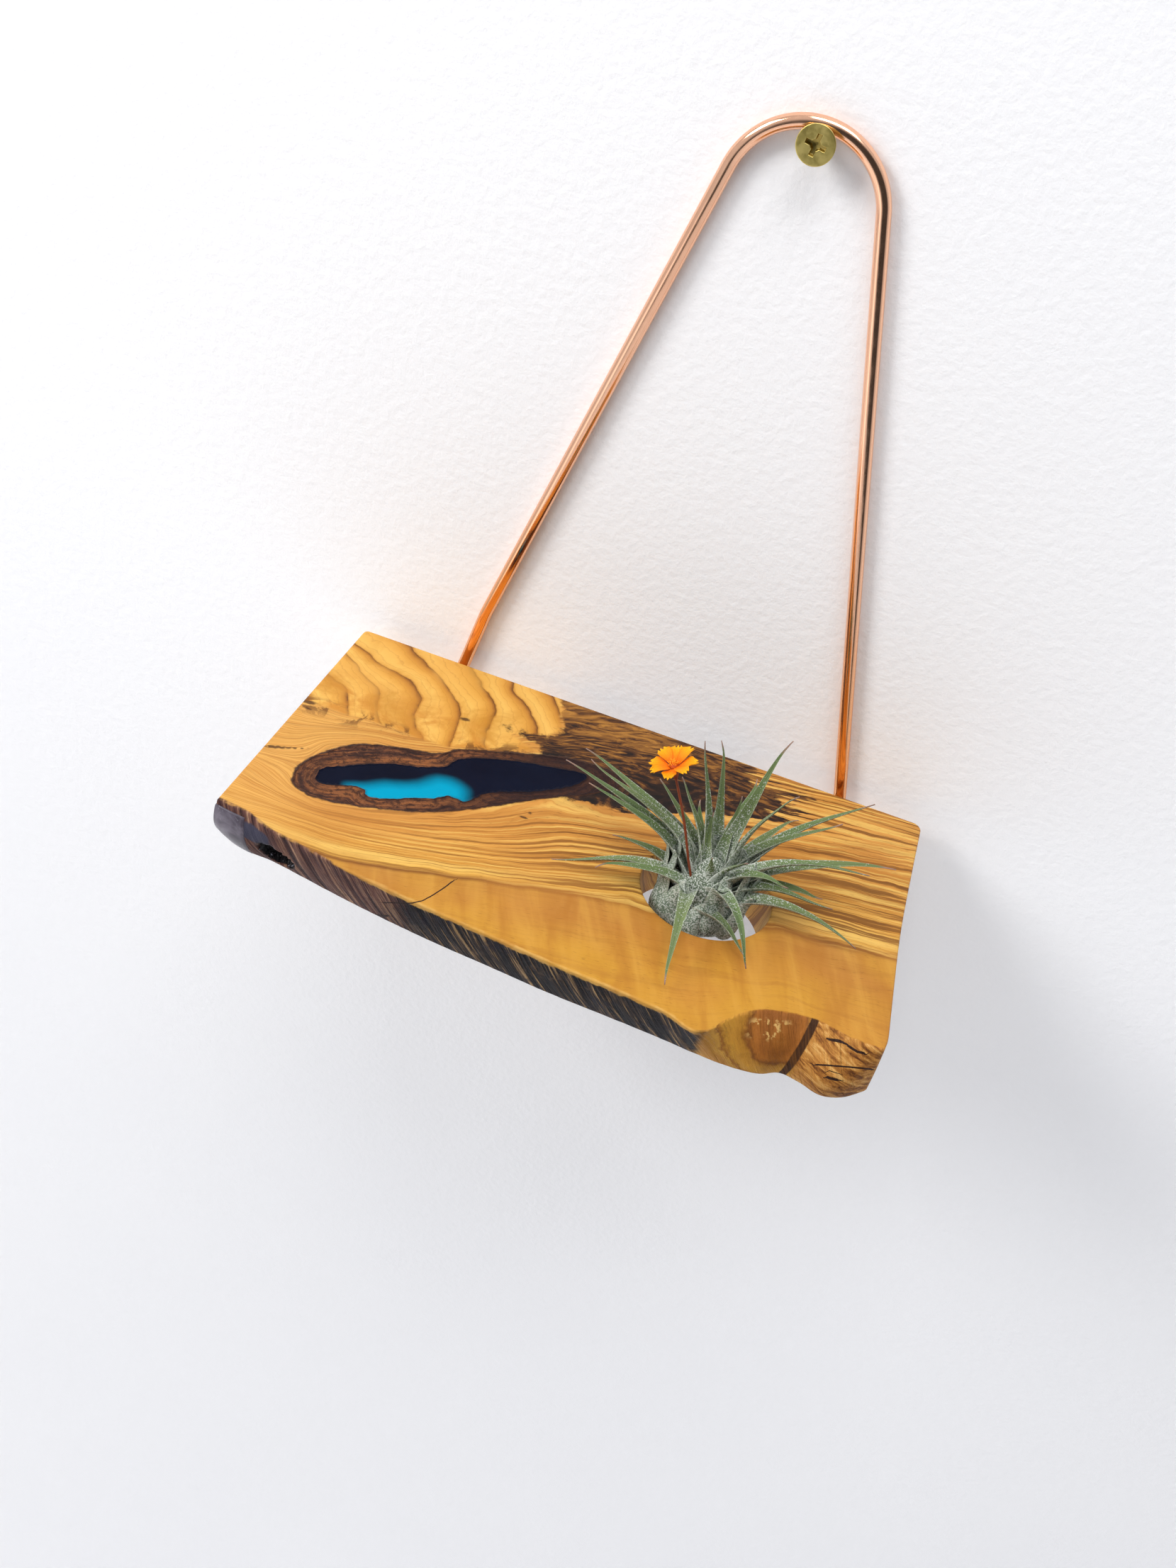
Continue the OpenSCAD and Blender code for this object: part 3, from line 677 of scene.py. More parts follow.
# Dark heartwood behind and beyond the void, browner and swirled towards the back edge
swirl = noise(joined(g * 0.34, X * 0.085, Y * 0.085), 1.0, 5, 0.65, 2.2)
swirl = swirl + span(Y, -34.0, -4.0, -0.1, 0.12, smooth=False) + span(X, 74.0, 92.0, 0.0, -0.07)
heart = ramp(swirl, [(0.3, 22, 15, 17), (0.44, 46, 28, 24), (0.52, 92, 57, 34), (0.6, 142, 94, 48),
                     (0.74, 188, 132, 66)])
torn = grit * 7.0 + (streaks - 0.5) * span(X, 70, 90, 0.0, 22.0)
in_heart = span(attribute("heart_zone") + torn, -0.6, 1.0)
colour = mix(in_heart, colour, heart)
# A dark line where the bark begins, small knots, cracks
near_bark = span(grit * 1.6 + attribute("bark_zone"), -0.75, -0.15) * span(Z, -9.5, -8.5)
colour = mix(near_bark, colour, lit(70, 40, 28))
mark = span(grit * 0.9 + attribute("marks"), 0.3, 0.75, 0.0, 0.85)
colour = mix(mark, colour, lit(70, 40, 24))
colour = mix(1.0, colour, (0.97, 0.94, 0.72, 1), "MULTIPLY")
# Live edge: mauve-brown at the left, blue-black with tan streaks further right, pale sapwood under the top
below = grit * 2.0 + Z + span(X, 24.0, 50.0, -1.2, 0.0)
edge = span(grit + attribute("edge"), 0.1, 0.7)
right = span(X, 116.0, 119.5)
under = calc("MAXIMUM", span(below, -0.7, -1.3), right)
across = X * 0.87 + Z * 0.5
along = X * 0.5 - Z * 0.87
streak = noise(joined(across * 1.25, along * 0.055, X * 0.02), 1.0, 4, 0.6, 0.2)
edge_left = ramp(streak, [(0.36, 50, 28, 28), (0.47, 92, 58, 54), (0.56, 130, 90, 76), (0.7, 200, 156, 122)])
edge_right = ramp(streak, [(0.38, 12, 10, 18), (0.5, 36, 28, 30), (0.56, 84, 64, 48), (0.62, 164, 130, 88),
                           (0.72, 206, 168, 112)])
edge_colour = mix(span(wander * 14.0 + X, 40.0, 54.0), edge_left, edge_right)
mottle = noise(co, 150, 5, 0.65)
edge_colour = mix(span(mottle, 0.52, 0.64, 0.0, 0.7) * span(X, 30.0, 55.0, 0.35, 1.0), edge_colour,
                  lit(34, 30, 44))
edge_colour = mix(span(mottle, 0.42, 0.34, 0.0, 0.55), edge_colour, lit(104, 82, 66))
bluish = ((X - 10.5) * 0.22)**2 + ((Z + 4.0) * 0.42)**2
edge_colour = mix(span(bluish + grit, 1.2, 0.7), edge_colour, lit(74, 72, 90))
# The knot at the right: reddish heart, a dark ring, ochre outside it, torn tan grain beyond a sawn groove
ring = (((Z * 0.35 + X - KNOT_X) * 0.62)**2 + ((Z + KNOT_DOWN) * 0.62)**2)**0.5
ring = ring + (noise(co, 150, 5, 0.6) - 0.5) * 5.0
knot_colour = ramp(ring / 14.0, [(0.0, 170, 104, 38), (0.16, 152, 90, 34), (0.24, 176, 108, 42),
                                 (0.29, 140, 84, 34), (0.34, 196, 136, 50), (0.41, 222, 158, 60),
                                 (0.47, 226, 164, 62), (0.52, 176, 112, 44), (0.55, 232, 172, 72),
                                 (0.66, 206, 142, 56), (0.76, 216, 152, 66), (0.9, 236, 176, 84)])
rags = noise(joined(X * 0.12, Y * 0.3, (X * 0.35 + Z) * 0.8), 1.0, 5, 0.65, 0.8)
torn_colour = ramp(rags, [(0.34, 104, 58, 24), (0.44, 170, 108, 46), (0.54, 212, 148, 70),
                          (0.66, 248, 196, 118)])
knot_colour = mix(span(X, 138.5, 140.5), knot_colour, torn_colour)
pale_tear = span(noise(co, 420, 4, 0.6), 0.52, 0.58) * span(Z, -4.6, -3.4) * span(Z, -0.6, -1.4)
pale_tear = pale_tear * span(X, 126.5, 128.5) * span(X, 136.5, 134.0)
knot_colour = mix(pale_tear, knot_colour, lit(228, 182, 108))
edge_colour = mix(span(grit * 3.0 + X, 117.5, 120.0), edge_colour, knot_colour)
rim = edge * span(below, -1.5, -0.9) * span(X, 119.0, 117.0)
colour = mix(edge * under, colour, edge_colour)
colour = mix(rim * span(mottle, 0.4, 0.58, 1.0, 0.25) * span(X, 20.0, 60.0, 0.2, 0.75), colour,
             lit(228, 180, 98))
groove = abs(Z * -0.2 + X - GROOVE_X)
groove = edge * span(grit * 0.4 + groove, 0.95, 0.7)
colour = mix(groove, colour, mix(span(streak, 0.4, 0.6), lit(66, 38, 16), lit(104, 64, 28)))
# The open pocket by the corner: painted near-black shade inside it, with painted glints on that.
pit = ((X - PIT_X) * 0.21)**2 + (((X - PIT_X) * 0.22 + Z + PIT_DOWN) * 0.33)**2
pit = edge * span(grit * 0.8 + pit, 1.15, 0.85)
glint = pit * span(noise(co, 900, 3, 0.6), 0.66, 0.7)
colour = mix(pit, colour, lit(18, 12, 16))
colour = mix(glint, colour, lit(190, 190, 205))
crack = span(abs(grit * 1.6 + attribute("ink")), 1.25, 0.65)
colour = mix(crack, colour, lit(50, 28, 20))
relief = bump(streak, 0.0012, edge * under * 0.9)
relief = bump(mottle, 0.001, edge * under * 0.6, relief)
relief = bump(groove + crack, 0.0007, -0.9, relief)
relief = bump(fine, 0.00008, 0.25, relief)
skin({"Base Color": colour, "Roughness": node("Mix", {0: pit, 2: span(edge, 0.0, 1.0, 0.46, 0.6), 3: 0.2}),
      "Normal": relief, "Specular IOR Level": 0.16})

wood_fields(piece("olive_slab", slab(), "holder", "wood_slab", wood_mat))

# ---------------------------------------------------------------- Bark round the void
# The tree's own old bark, left round the hollow and levelled with the top: a ring of cracked brown ridges.
# It is still grown onto the wood, and the finish seals it.

RESIN_LINE = [(15, -61), (15.5, -58.5), (18, -56.4), (21, -54), (24, -51.6), (28, -49), (32, -47.3),
              (35, -46.2), (38.5, -44), (40.3, -42.6), (40.8, -40.8), (42, -38.4), (45, -36), (50, -33.4),
              (56, -31), (62, -29.3), (68, -27.6), (71.5, -27.6), (71.2, -30.5), (69.3, -33.6), (66, -37),
              (62, -40.4), (58, -43), (54, -45.6), (51.6, -48), (50, -51), (48.6, -52.8), (46.5, -52.6),
              (44.2, -53), (42, -55.4), (38, -57.6), (34, -60.4), (30, -62.4), (28, -62.4), (27, -60.9),
              (25, -60.7), (23, -61.5), (20, -63), (17.8, -64), (15.6, -63.2)]
WINDOW_LINE = [(21.8, -61.4), (26, -58.4), (29, -55.9), (33, -53.8), (36, -51.6), (38, -49), (40, -47),
               (44, -46.3), (47.5, -47.4), (49.3, -50), (49.5, -54), (44, -59), (38, -63), (30, -67),
               (26, -65)]
POCKET_DEPTH = 8.0


def block(loops, low, high, spacing, relief=None, seed=0):
    """A block between two heights with plates on top and below, and a wall down each loop (the first is
    outermost)."""
    made = Solid()
    starts = [made.add(np.concatenate([at_height(q, high), at_height(q, low)]), strips(2, len(q), k == 0))
              for k, q in enumerate(loops)]
    made.plate(loops, starts, high, spacing, True)
    if relief:
        top = made.points[-1]
        to_wall = np.min([to_outline(top[:, :2], q)[0] for q in loops], 0)
        top[:, 2] -= relief * (0.5 + 0.5 * waves(top[:, :2], 1.6, seed, 4)) * np.clip(to_wall / 0.6, 0, 1)
    made.plate(loops, [a + len(q) for q, a in zip(loops, starts)], low, 3 * spacing, False)
    return made.shape()


bark_mat, co = material("old_bark")
ring_at = attribute("ring")
ridges = noise(joined(ring_at * 1.3, part(co, 0) * 130.0, part(co, 1) * 130.0), 1.0, 5, 0.65, 0.4)
bark_colour = ramp(ridges, [(0.32, 34, 20, 18), (0.45, 70, 40, 30), (0.55, 112, 66, 40),
                            (0.68, 164, 102, 56)])
plain = span(noise(co, 120, 3), 0.45, 0.65)
bark_colour = mix(plain * 0.5, bark_colour, lit(78, 48, 38))
inner = span(ring_at, 0.2, 1.0) * span(ring_at, 3.4, 2.4)
bark_colour = mix(inner * span(ridges, 0.35, 0.6, 0.1, 0.7), bark_colour, lit(166, 102, 56))
far = span(part(co, 0), -0.045, -0.02)
grain = noise(co, 700, 4, 0.7)
bark_colour = mix(span(grain, 0.48, 0.62, 0.0, 0.75), bark_colour, lit(48, 26, 20))
bark_colour = mix(span(grain, 0.42, 0.34, 0.0, 0.5), bark_colour, lit(150, 96, 60))
bark_colour = mix(far * 0.85, bark_colour, lit(40, 22, 24))
skin({"Base Color": bark_colour, "Roughness": 0.6, "Specular IOR Level": 0.15,
      "Normal": bump(grain, 0.0003, 0.7, bump(ridges, 0.0006, 0.7))})

bark_loop = ragged(closed_curve(BARK_LINE, 16), *BARK_RAGGED)
resin_loop = ragged(closed_curve(RESIN_LINE, 6), 0.22, 1.6, 5)
bark = piece("bark_ring", block([bark_loop, resin_loop], -POCKET_DEPTH, 0.0, 0.7, 0.25, 8), "holder",
             "bark_rim", bark_mat)
fields(bark, ring=to_outline(laid_out(bark)[:, :2], resin_loop)[0])

# ---------------------------------------------------------------- Resin inlay
# Clear dark blue resin cast in the void and polished level. Where the void goes right through the board,
# daylight from below lights it turquoise; that glow is painted, as a turquoise colour and a faint emission.

resin_mat, co = material("cast_blue_resin")
haze = noise(co, 110, 3) - 0.5
window = haze * 1.6 + attribute("window")
# Painted daylight: the turquoise where the void goes through is colour, not light passing through the resin.
daylight = span(window, -1.5, 1.5)
deep = mix(noise(co, 90, 2), lit(8, 10, 26), lit(20, 26, 46))
glow = mix(span(window, 0.3, 3.6), lit(0, 120, 150), lit(0, 160, 196))
resin_colour = mix(daylight, deep, glow)
specks = node("TexVoronoi", {"Vector": co, "Scale": 260.0}, output="Distance")
dust = span(specks, 0.13, 0.08) * span(noise(co, 150, 2), 0.62, 0.68)
resin_colour = mix(dust * 0.5, resin_colour, srgb(150, 165, 175))
# The emission is part of the painted glow; the resin is no lamp.
skin({"Base Color": resin_colour, "Roughness": 0.38, "IOR": 1.5, "Specular IOR Level": 0.03,
      "Emission Color": mix(daylight, (0, 0, 0, 1), srgb(0, 110, 140)), "Emission Strength": 0.12})
cast = Solid()
cast.add(*block([resin_loop], -POCKET_DEPTH, 0.0, 0.7))
cast.add(*block([closed_curve(HATCH_LINE, 12)], -THICK, 0.2 - POCKET_DEPTH, 1.4))
resin = piece("blue_resin", cast.shape(), "holder", "resin_inlay", resin_mat)
fields(resin, window=zone(laid_out(resin)[:, :2], closed_curve(WINDOW_LINE, 8)))

# ---------------------------------------------------------------- Corner resin
# The left front corner was broken off. It is made good with a chunk of dark resin, cast onto the wood,
# sanded to a smooth facet and polished.


def corner_chunk():
    """A grid over the front and left faces of the corner (left end, then front), down from under the top,
    closed by a copy of itself set 1.6 mm further in."""
    down = np.concatenate([[1.3, 1.45, 1.7], np.linspace(2.2, THICK - 1.0, 15), [THICK - 0.5, THICK - 0.12]])
    round_corner = np.linspace(0, np.pi / 2, 8)
    turning = -np.stack([np.cos(round_corner), np.sin(round_corner)], 1)
    n = np.concatenate([np.tile([-1, 0], (16, 1)), turning, np.tile([0, -1], (27, 1))])
    k = np.arange(len(n))
    fade = np.clip(np.minimum(k / 2, k[::-1] / 3), 0, 1)
    rings = []
    for z in down:
        edge_x = 7.6 + 1.6 * np.clip((z - 2) / 10, 0, 1)
        left_y = -(76.6 + np.linspace(0, 1, 16) * (front_edge(np.zeros(1), z / THICK) - 76.6))
        front_x = np.linspace(0, 1, 36)[1:] * edge_x
        band = np.concatenate([pairs(0, left_y), pairs(front_x, -front_edge(front_x, z / THICK))])
        rim = min(1.0, (z - 1.3) / 0.5, (THICK - 0.1 - z) / 0.5)
        out = 0.05 + 0.22 * math.sqrt(max(rim, 0)) * fade
        rings.append(at_height(np.concatenate([band + n * out[:, None], (band - n * 1.6)[::-1]]), -z))
    count, n = len(rings), len(rings[0])
    faces = strips(count, n, True)
    k = np.arange(n // 2 - 1)
    cap = np.stack([k, k + 1, n - 2 - k, n - 1 - k], 1)
    return np.concatenate(rings), faces + cap.tolist() + (cap[:, ::-1] + (count - 1) * n).tolist()


corner_mat, co = material("smoky_resin")
cloud = noise(co, 130, 4, 0.55, 0.6)
wisps = noise(co, 420, 3, 0.6, 1.0)
smoky = ramp(cloud, [(0.32, 52, 44, 54), (0.5, 92, 84, 96), (0.66, 132, 124, 136)])
smoky = mix(span(wisps, 0.6, 0.72, 0.0, 0.35), smoky, lit(164, 158, 172))
skin({"Base Color": smoky, "Roughness": 0.3, "IOR": 1.5, "Specular IOR Level": 0.3,
      "Normal": bump(cloud, 0.0004, 0.3)})
piece("corner_chunk", corner_chunk(), "holder", "corner_resin", corner_mat)

# ---------------------------------------------------------------- Copper hanger
# One piece of solid copper rod, bent by hand into a narrow loop and polished. Its two feet are glued into
# holes drilled in the back edge.

ROD_R = 1.63
ROD_PATH = [(26.3, -18, -6.5), (26.3, 5, -6.5), (30.3, 5, 14.2), (80.9, 5, 202.5), (133.1, 5, -6.5),
            (133.1, -18, -6.5)]
ROD_BENDS = [0, 5, 12, 17.4, 5, 0]


def bent_line(points, radii, step):
    """Points and directions along straight lines joined by arcs of those radii, step mm apart."""
    p = np.array(points, float)
    run = unit(np.diff(p, axis=0))
    places, ways = [], []
    last = p[0]
    for i, a in enumerate(run, 1):
        end = p[i]
        if i < len(run):
            turned = math.acos(np.clip(a @ run[i], -1, 1))
            end = p[i] - a * radii[i] * math.tan(turned / 2)
        n = max(2, int(np.linalg.norm(end - last) / step))
        places.append(last + (end - last) * np.linspace(0, 1, n)[:, None])
        ways.append(np.tile(a, (n, 1)))
        if i < len(run):
            inward = unit(run[i] - a * (a @ run[i])) * radii[i]
            angle = np.linspace(0, turned, max(6, int(turned * radii[i] / step * 2.5)))[:, None]
            places.append(end + inward * (1 - np.cos(angle)) + a * radii[i] * np.sin(angle))
            ways.append(a * np.cos(angle) + inward / radii[i] * np.sin(angle))
            last = places[-1][-1]
    places, ways = np.concatenate(places), np.concatenate(ways)
    keep = np.concatenate([[True], np.linalg.norm(np.diff(places, axis=0), axis=1) > 1e-4])
    return places[keep], ways[keep]


def around_circle(n):
    """n angles round a circle."""
    return np.linspace(0, 2 * np.pi, n, endpoint=False)


def closed_rings(rings, ends, flip=False):
    """Rings (count, n, 3) joined by quads, with a fan from the first and last ring to its end point."""
    m, n = rings.shape[:2]
    k = np.arange(n)
    first = np.stack([(k + 1) % n, k, 0 * k + m * n], 1)
    last = np.stack([(m - 1) * n + k, (m - 1) * n + (k + 1) % n, 0 * k + m * n + 1], 1)
    faces = strips(m, n) + first.tolist() + last.tolist()
    return np.concatenate([rings.reshape(-1, 3), ends]), [f[::-1] for f in faces] if flip else faces


def tube(places, ways, radius, sides, across):
    """Round rings square to the path, closed at each end. across turns the first ring."""
    side = np.zeros_like(ways)
    v = np.array(across, float)
    for k, way in enumerate(ways):
        v = unit(v - way * (v @ way))
        side[k] = v
    angle = around_circle(sides)[None, :, None]
    r = np.broadcast_to(np.asarray(radius, float), (len(places),))[:, None, None]
    up = np.cross(ways, side)
    rings = places[:, None] + r * (np.cos(angle) * side[:, None] + np.sin(angle) * up[:, None])
    return closed_rings(rings, places[[0, -1]])


copper_mat, co = material("polished_copper")
copper_colour = mix(noise(co, 55, 3), srgb(248, 188, 152), srgb(250, 200, 166))
# Towards the wood the copper turns orange: a painted reflection of the wood below.
low = span(part(co, 2), -0.085, -0.14)
copper_colour = mix(low, copper_colour, srgb(250, 180, 126))
skin({"Base Color": copper_colour, "Metallic": 1.0,
      "Roughness": span(noise(co, 300, 3), 0.3, 0.7, 0.1, 0.17),
      "Normal": bump(noise(co, 90, 2), 0.0005, 0.1)})
piece("copper_hanger", tube(*bent_line(ROD_PATH, ROD_BENDS, 0.8), ROD_R, 48, (1, 0, 0)), "holder",
      "hanger_rod", copper_mat)

epoxy_mat, co = material("set_epoxy")
haze = noise(co, 700, 3)
skin({"Base Color": mix(haze, srgb(206, 178, 120), srgb(226, 204, 156)), "Roughness": 0.25,
      "Coat Weight": 0.6, "Normal": bump(haze, 0.0001, 0.3)})


def socket_sleeve(x):
    """The glue round a foot, turned round the hole's axis: a sleeve in the hole and a small rounded bead
    over its mouth, hollow down to the rod."""
    profile = [(1.62, -17.9), (1.78, -17.9), (1.78, 0.0), (2.3, 0.02), (2.2, 0.16), (1.95, 0.32),
               (1.62, 0.42)]
    r, y = np.array(profile).T[:, :, None]
    angle = around_circle(40)
    rings = np.stack(np.broadcast_arrays(x + r * np.cos(angle), y, -THICK / 2 + r * np.sin(angle)), -1)
    k = np.arange(40)
    a, b, last = k, (k + 1) % 40, (len(r) - 1) * 40
    inside = np.stack([last + a, last + b, b, a], 1)
    return rings.reshape(-1, 3), strips(len(r), 40, True) + inside.tolist()


for name, x in (("left", ROD_PATH[0][0]), ("right", ROD_PATH[-1][0])):
    piece(f"glue_{name}", socket_sleeve(x), "holder", f"socket_epoxy_{name}", epoxy_mat)

# ---------------------------------------------------------------- Wall screw
# A number 8 brass wood screw, countersunk, with a cross recess. It is driven into the wall, and the loop
# hangs on its smooth shank behind the head.

HEAD_R, HEAD_BACK, HEAD_H, HEAD_RIM = 4.1, -3.7, 2.9, 0.4
SHANK_R, THREAD_R, THREAD_LEN, POINT_LEN = 1.55, 2.1, 20.0, 5.0
RECESS_W, RECESS_LEN, RECESS_D, RECESS_TURN = 1.05, 5.2, 1.8, 80.0


def screw_shape():
    """Turned round +Y. Head face: a polar grid sunk by the recess. Then the cone, the shank and the thread,
    whose radius rises and falls once a pitch along the helix."""
    sides, pitch, thread_root = 240, 1.55, 1.45
    angle = around_circle(sides)
    face_y = HEAD_BACK - HEAD_H
    turn, half_arm = math.radians(RECESS_TURN), RECESS_LEN / 2 - 0.35
    rows = []
    for r in np.concatenate([np.linspace(0.04, 2.9, 52), [3.2, 3.6, 3.85]]):
        u, v = abs(r * np.cos(angle - turn)), abs(r * np.sin(angle - turn))
        arm = np.minimum(*(np.maximum(p - half_arm, q - RECESS_W / 2) for p, q in ((u, v), (v, u))))
        sunk = np.clip(-np.minimum(arm, r - 1.15) / 0.16, 0, 1)
        fall = RECESS_D * np.clip(1.05 - 0.42 * r / 2.6, 0, 1)
        rows.append((r, face_y + fall * sunk * sunk * (3 - 2 * sunk)))
    rows += [(HEAD_R - 0.1, face_y), (HEAD_R - 0.03, face_y + 0.03), (HEAD_R, face_y + 0.1),
             (HEAD_R, face_y + HEAD_RIM - 0.08), (HEAD_R - 0.05, face_y + HEAD_RIM),
             (3.3, face_y + HEAD_RIM + 0.76), (2.4, face_y + HEAD_RIM + 1.6),
             (SHANK_R + 0.06, HEAD_BACK - 0.1), (SHANK_R, HEAD_BACK), (SHANK_R, -1.8), (SHANK_R, -0.05),
             (SHANK_R, 0.0)]
    end = THREAD_LEN + POINT_LEN
    for y in np.arange(0.1, end - 0.25, 0.12):
        crest = np.clip(1 - abs((y / pitch - angle / (2 * np.pi)) % 1.0 - 0.5) / 0.28, 0, 1)**0.8
        root = thread_root + (THREAD_R - thread_root) * crest * np.clip(y / 1.2, 0, 1)
        rows.append((root * np.clip((end - y) / POINT_LEN, 0.04, 1), y))
    r, y = (np.array([np.broadcast_to(row[k], sides) for row in rows]) for k in (0, 1))
    points, faces = closed_rings(np.stack([r * np.cos(angle), y, r * np.sin(angle)], -1),
                                 [[0, y[0].mean(), 0], [0, end, 0]], True)
    return points - SHELF, faces


brass_mat, co = material("dull_brass")
tarnish = noise(co, 500, 4, 0.6)
face_at = part(co, 1)
# Darker brass down in the cross recess: painted shade in the recess.
recess_shade = span(face_at, -0.00645, -0.0058)
brass_colour = mix(span(tarnish, 0.35, 0.65), srgb(204, 184, 104), srgb(218, 198, 122))
brass_colour = mix(recess_shade * 0.6, brass_colour, srgb(136, 112, 58))
skin({"Base Color": brass_colour, "Metallic": 1.0, "Roughness": span(tarnish, 0.3, 0.7, 0.3, 0.44),
      "Normal": bump(noise(co, 1500, 3), 0.00006, 0.35)})
piece("brass_screw", screw_shape(), "screw", "wall_screw", brass_mat)

# ---------------------------------------------------------------- Air plant: core, roots and leaves
# A small silvery air plant. Its channelled leaves narrow to a thread and arch out of a tight rosette; white
# scales cover them, thickest near the base, and the tips are dry. The rosette just stands in the hole.

PLANT = np.array([108.5, -54.0, 0.0])
CORE_R = 6.2
# Each leaf: angle and height of its foot, angle, reach and height of its tip, slopes at both ends, width
LEAVES = [(170, 2.8, 170, 40, 17.8, 54, 12, 4.8), (154, 4.2, 162, 38, 19.5, 58, 18, 4.8),
          (176, 5.2, 174, 33.8, 22, 62, 20, 4), (186, 3.4, 181, 32, 19.2, 60, 16, 3.6),
          (172, 0.6, 175, 24, 5.5, 50, -8, 4.6), (205, 0.6, 198, 36, 3.2, 60, -14, 4.6),
          (248, 0.9, 200, 26.4, 4.8, 70, -24, 3.4), (138, 4.5, 155, 19.5, 20.5, 72, 38, 4),
          (150, 6.5, 160, 13.5, 26, 80, 58, 2.6), (132, 6, 143, 13.5, 34.3, 82, 66, 3.2),
          (94, 5.5, 119, 14, 33.3, 80, 62, 3.4), (128, 3, 126, 14, 16, 66, 46, 4.4),
          (60, 6, 55, 12.5, 40.8, 84, 64, 4.2), (20, 6.5, 9, 12.5, 33.7, 84, 60, 3),
          (42, 3.5, 27, 33, 28.6, 58, 26, 4.8), (52, 4, 19, 25.5, 25, 66, 30, 3.6),
          (8, 3.2, 13, 39.5, 18, 48, 4, 4.8), (350, 4.8, 0, 33, 20.5, 58, 2, 4.2),
          (14, 0.6, 9, 26, 5.6, 46, -30, 4.8), (322, 5.2, 341, 18, 13.5, 66, -26, 4.2),
          (350, 2.4, 0, 28.4, 8.2, 58, 2, 4.2), (330, 0.2, 355, 36.4, 2.4, 50, -28, 4.6),
          (296, 3.4, 302, 26.5, 2.6, 74, -62, 4.2), (262, -0.6, 307, 22.5, 1.8, 40, -16, 3.8),
          (222, 0.4, 268, 34.5, 1.6, 66, -36, 4.6), (84, 2, 82, 24, 18, 58, 18, 4.8),
          (104, 1.4, 101, 30, 11, 52, 2, 4.8), (60, 1, 58, 27, 12, 50, 4, 4.8),
          (270, 6.6, 262, 5, 14.5, 84, 70, 3), (180, 7, 130, 6, 19, 86, 74, 3),
          (300, 6.4, 330, 8, 16, 80, 56, 3.2), (70, 7.4, 80, 7.5, 24, 86, 72, 2.8)]
AROUND = around_circle(20)


def heading(degrees):
    """Level direction at that angle from +X towards +Y."""
    return np.array([math.cos(math.radians(degrees)), math.sin(math.radians(degrees)), 0])


def blade_line(row):
    """Centre line of a leaf as four cubic control points, as the source lays it out, and its level side
    direction."""
    base_at, base_z, tip_at, reach, tip_z, rise, end, _ = row
    core = CORE_R - 0.9 if base_z < 1 else CORE_R - 0.6 - 0.45 * base_z
    base = PLANT + core * heading(base_at) + (0, 0, base_z)
    tip = PLANT + reach * heading(tip_at) + (0, 0, tip_z)
    flat = unit((tip - base) * (1, 1, 0))
    handle = np.linalg.norm(tip - base) * 0.38
    start, finish = (flat * math.cos(math.radians(a)) + (0, 0, math.sin(math.radians(a)))
                     for a in (rise, end))
    return [base, base + start * handle, tip - finish * handle, tip], np.array([-flat[1], flat[0], 0])


def cubic(c, t):
    """Points at t, from 0 to 1, of the cubic with four control points."""
    return (1 - t)**3 * c[0] + 3 * (1 - t)**2 * t * c[1] + 3 * (1 - t) * t * t * c[2] + t**3 * c[3]


def blade(line, side, up, t, across, rise, flip=False):
    """Closed rings of a leaf, across of the way to its side and rise up, and the shape's along and rim
    numbers."""
    points, faces = closed_rings(line[:, None] + across[..., None] * side[:, None] + rise[..., None]
                                 * up[:, None], line[[0, -1]], flip)
    rim = np.tile(abs(np.cos(AROUND)), len(t))
    return (points, faces), np.append(np.repeat(t[:, 0], len(AROUND)), [0, 1]), np.append(rim, [0, 0])


def leaf_shape(row, seed):
    """A blade along its centre line, whose upper side is a shallow channel and whose lower side is round.
    Width falls from base to tip, with the CAD solid's own law, and the side direction twists a little."""
    c, side = blade_line(row)
    t = np.linspace(0, 1, 44)[:, None]
    line = cubic(c, t)
    up = unit(np.cross(unit(np.gradient(line, axis=0)), side))
    a1, a2, a3 = np.random.default_rng(seed).uniform(-1, 1, 3)
    sway = (a1 * np.sin(3.3 * t + a3) + 0.6 * a2 * np.sin(8 * t)) * t * (1 - t) * 1.4
    line = line + sway * side + up * (0.5 * a3 * np.sin(9 * t) * t * (1 - t))
    line = line + np.clip((t - 0.86) / 0.14, 0, 1)**2 * (0.9 * a1 * side + 0.5 * a2 * up)
    roll = 0.45 * a2 * t
    width = 0.24 + (row[7] + 0.9) * (1 - t)**1.18
    thick = 0.9 + (0.24 - 0.9) * t**0.8
    across = np.cos(AROUND)
    lift = np.where(np.sin(AROUND) > 0, 0.30, 0.62) * np.sin(AROUND)
    channel = 0.34 * width * (across**2 - 0.45) * (1 - 0.45 * t)
    shape, along, rim = blade(line, side * np.cos(roll) + up * np.sin(roll),
                              up * np.cos(roll) - side * np.sin(roll), t, width / 2 * across,
                              thick * lift + channel, True)
    return shape, along, rim, np.append(np.tile(np.sin(AROUND) < -0.1, len(t)), [0, 0])


def scale_group():
    """Node group: mask of the plant's small white scales. Bright flecks lie where fine cell noise is near a
    cell's centre and clump noise is high, and there are more of them as Cover rises."""
    global tree
    tree = bpy.data.node_groups.new("plant_scales", "ShaderNodeTree")
    tree.interface.new_socket("Vector", in_out="INPUT", socket_type="NodeSocketVector")
    tree.interface.new_socket("Cover", in_out="INPUT", socket_type="NodeSocketFloat")
    tree.interface.new_socket("Mask", in_out="OUTPUT", socket_type="NodeSocketFloat")
    given = tree.nodes.new("NodeGroupInput").outputs
    at, cover = Value(given["Vector"]), Value(given["Cover"])
    fleck = node("TexVoronoi", {"Vector": at, "Scale": 2700.0}, "Distance") * -0.85 + noise(at, 1500, 3, 0.6)
    tree.links.new(span(fleck + cover, 0.30, 0.60).socket, tree.nodes.new("NodeGroupOutput").inputs["Mask"])
    return tree


def scales(co, cover):
    """The scale mask at co, from the shared group."""
    return node("Group", {"Vector": co, "Cover": cover}, "Mask", node_tree=scales_tree)


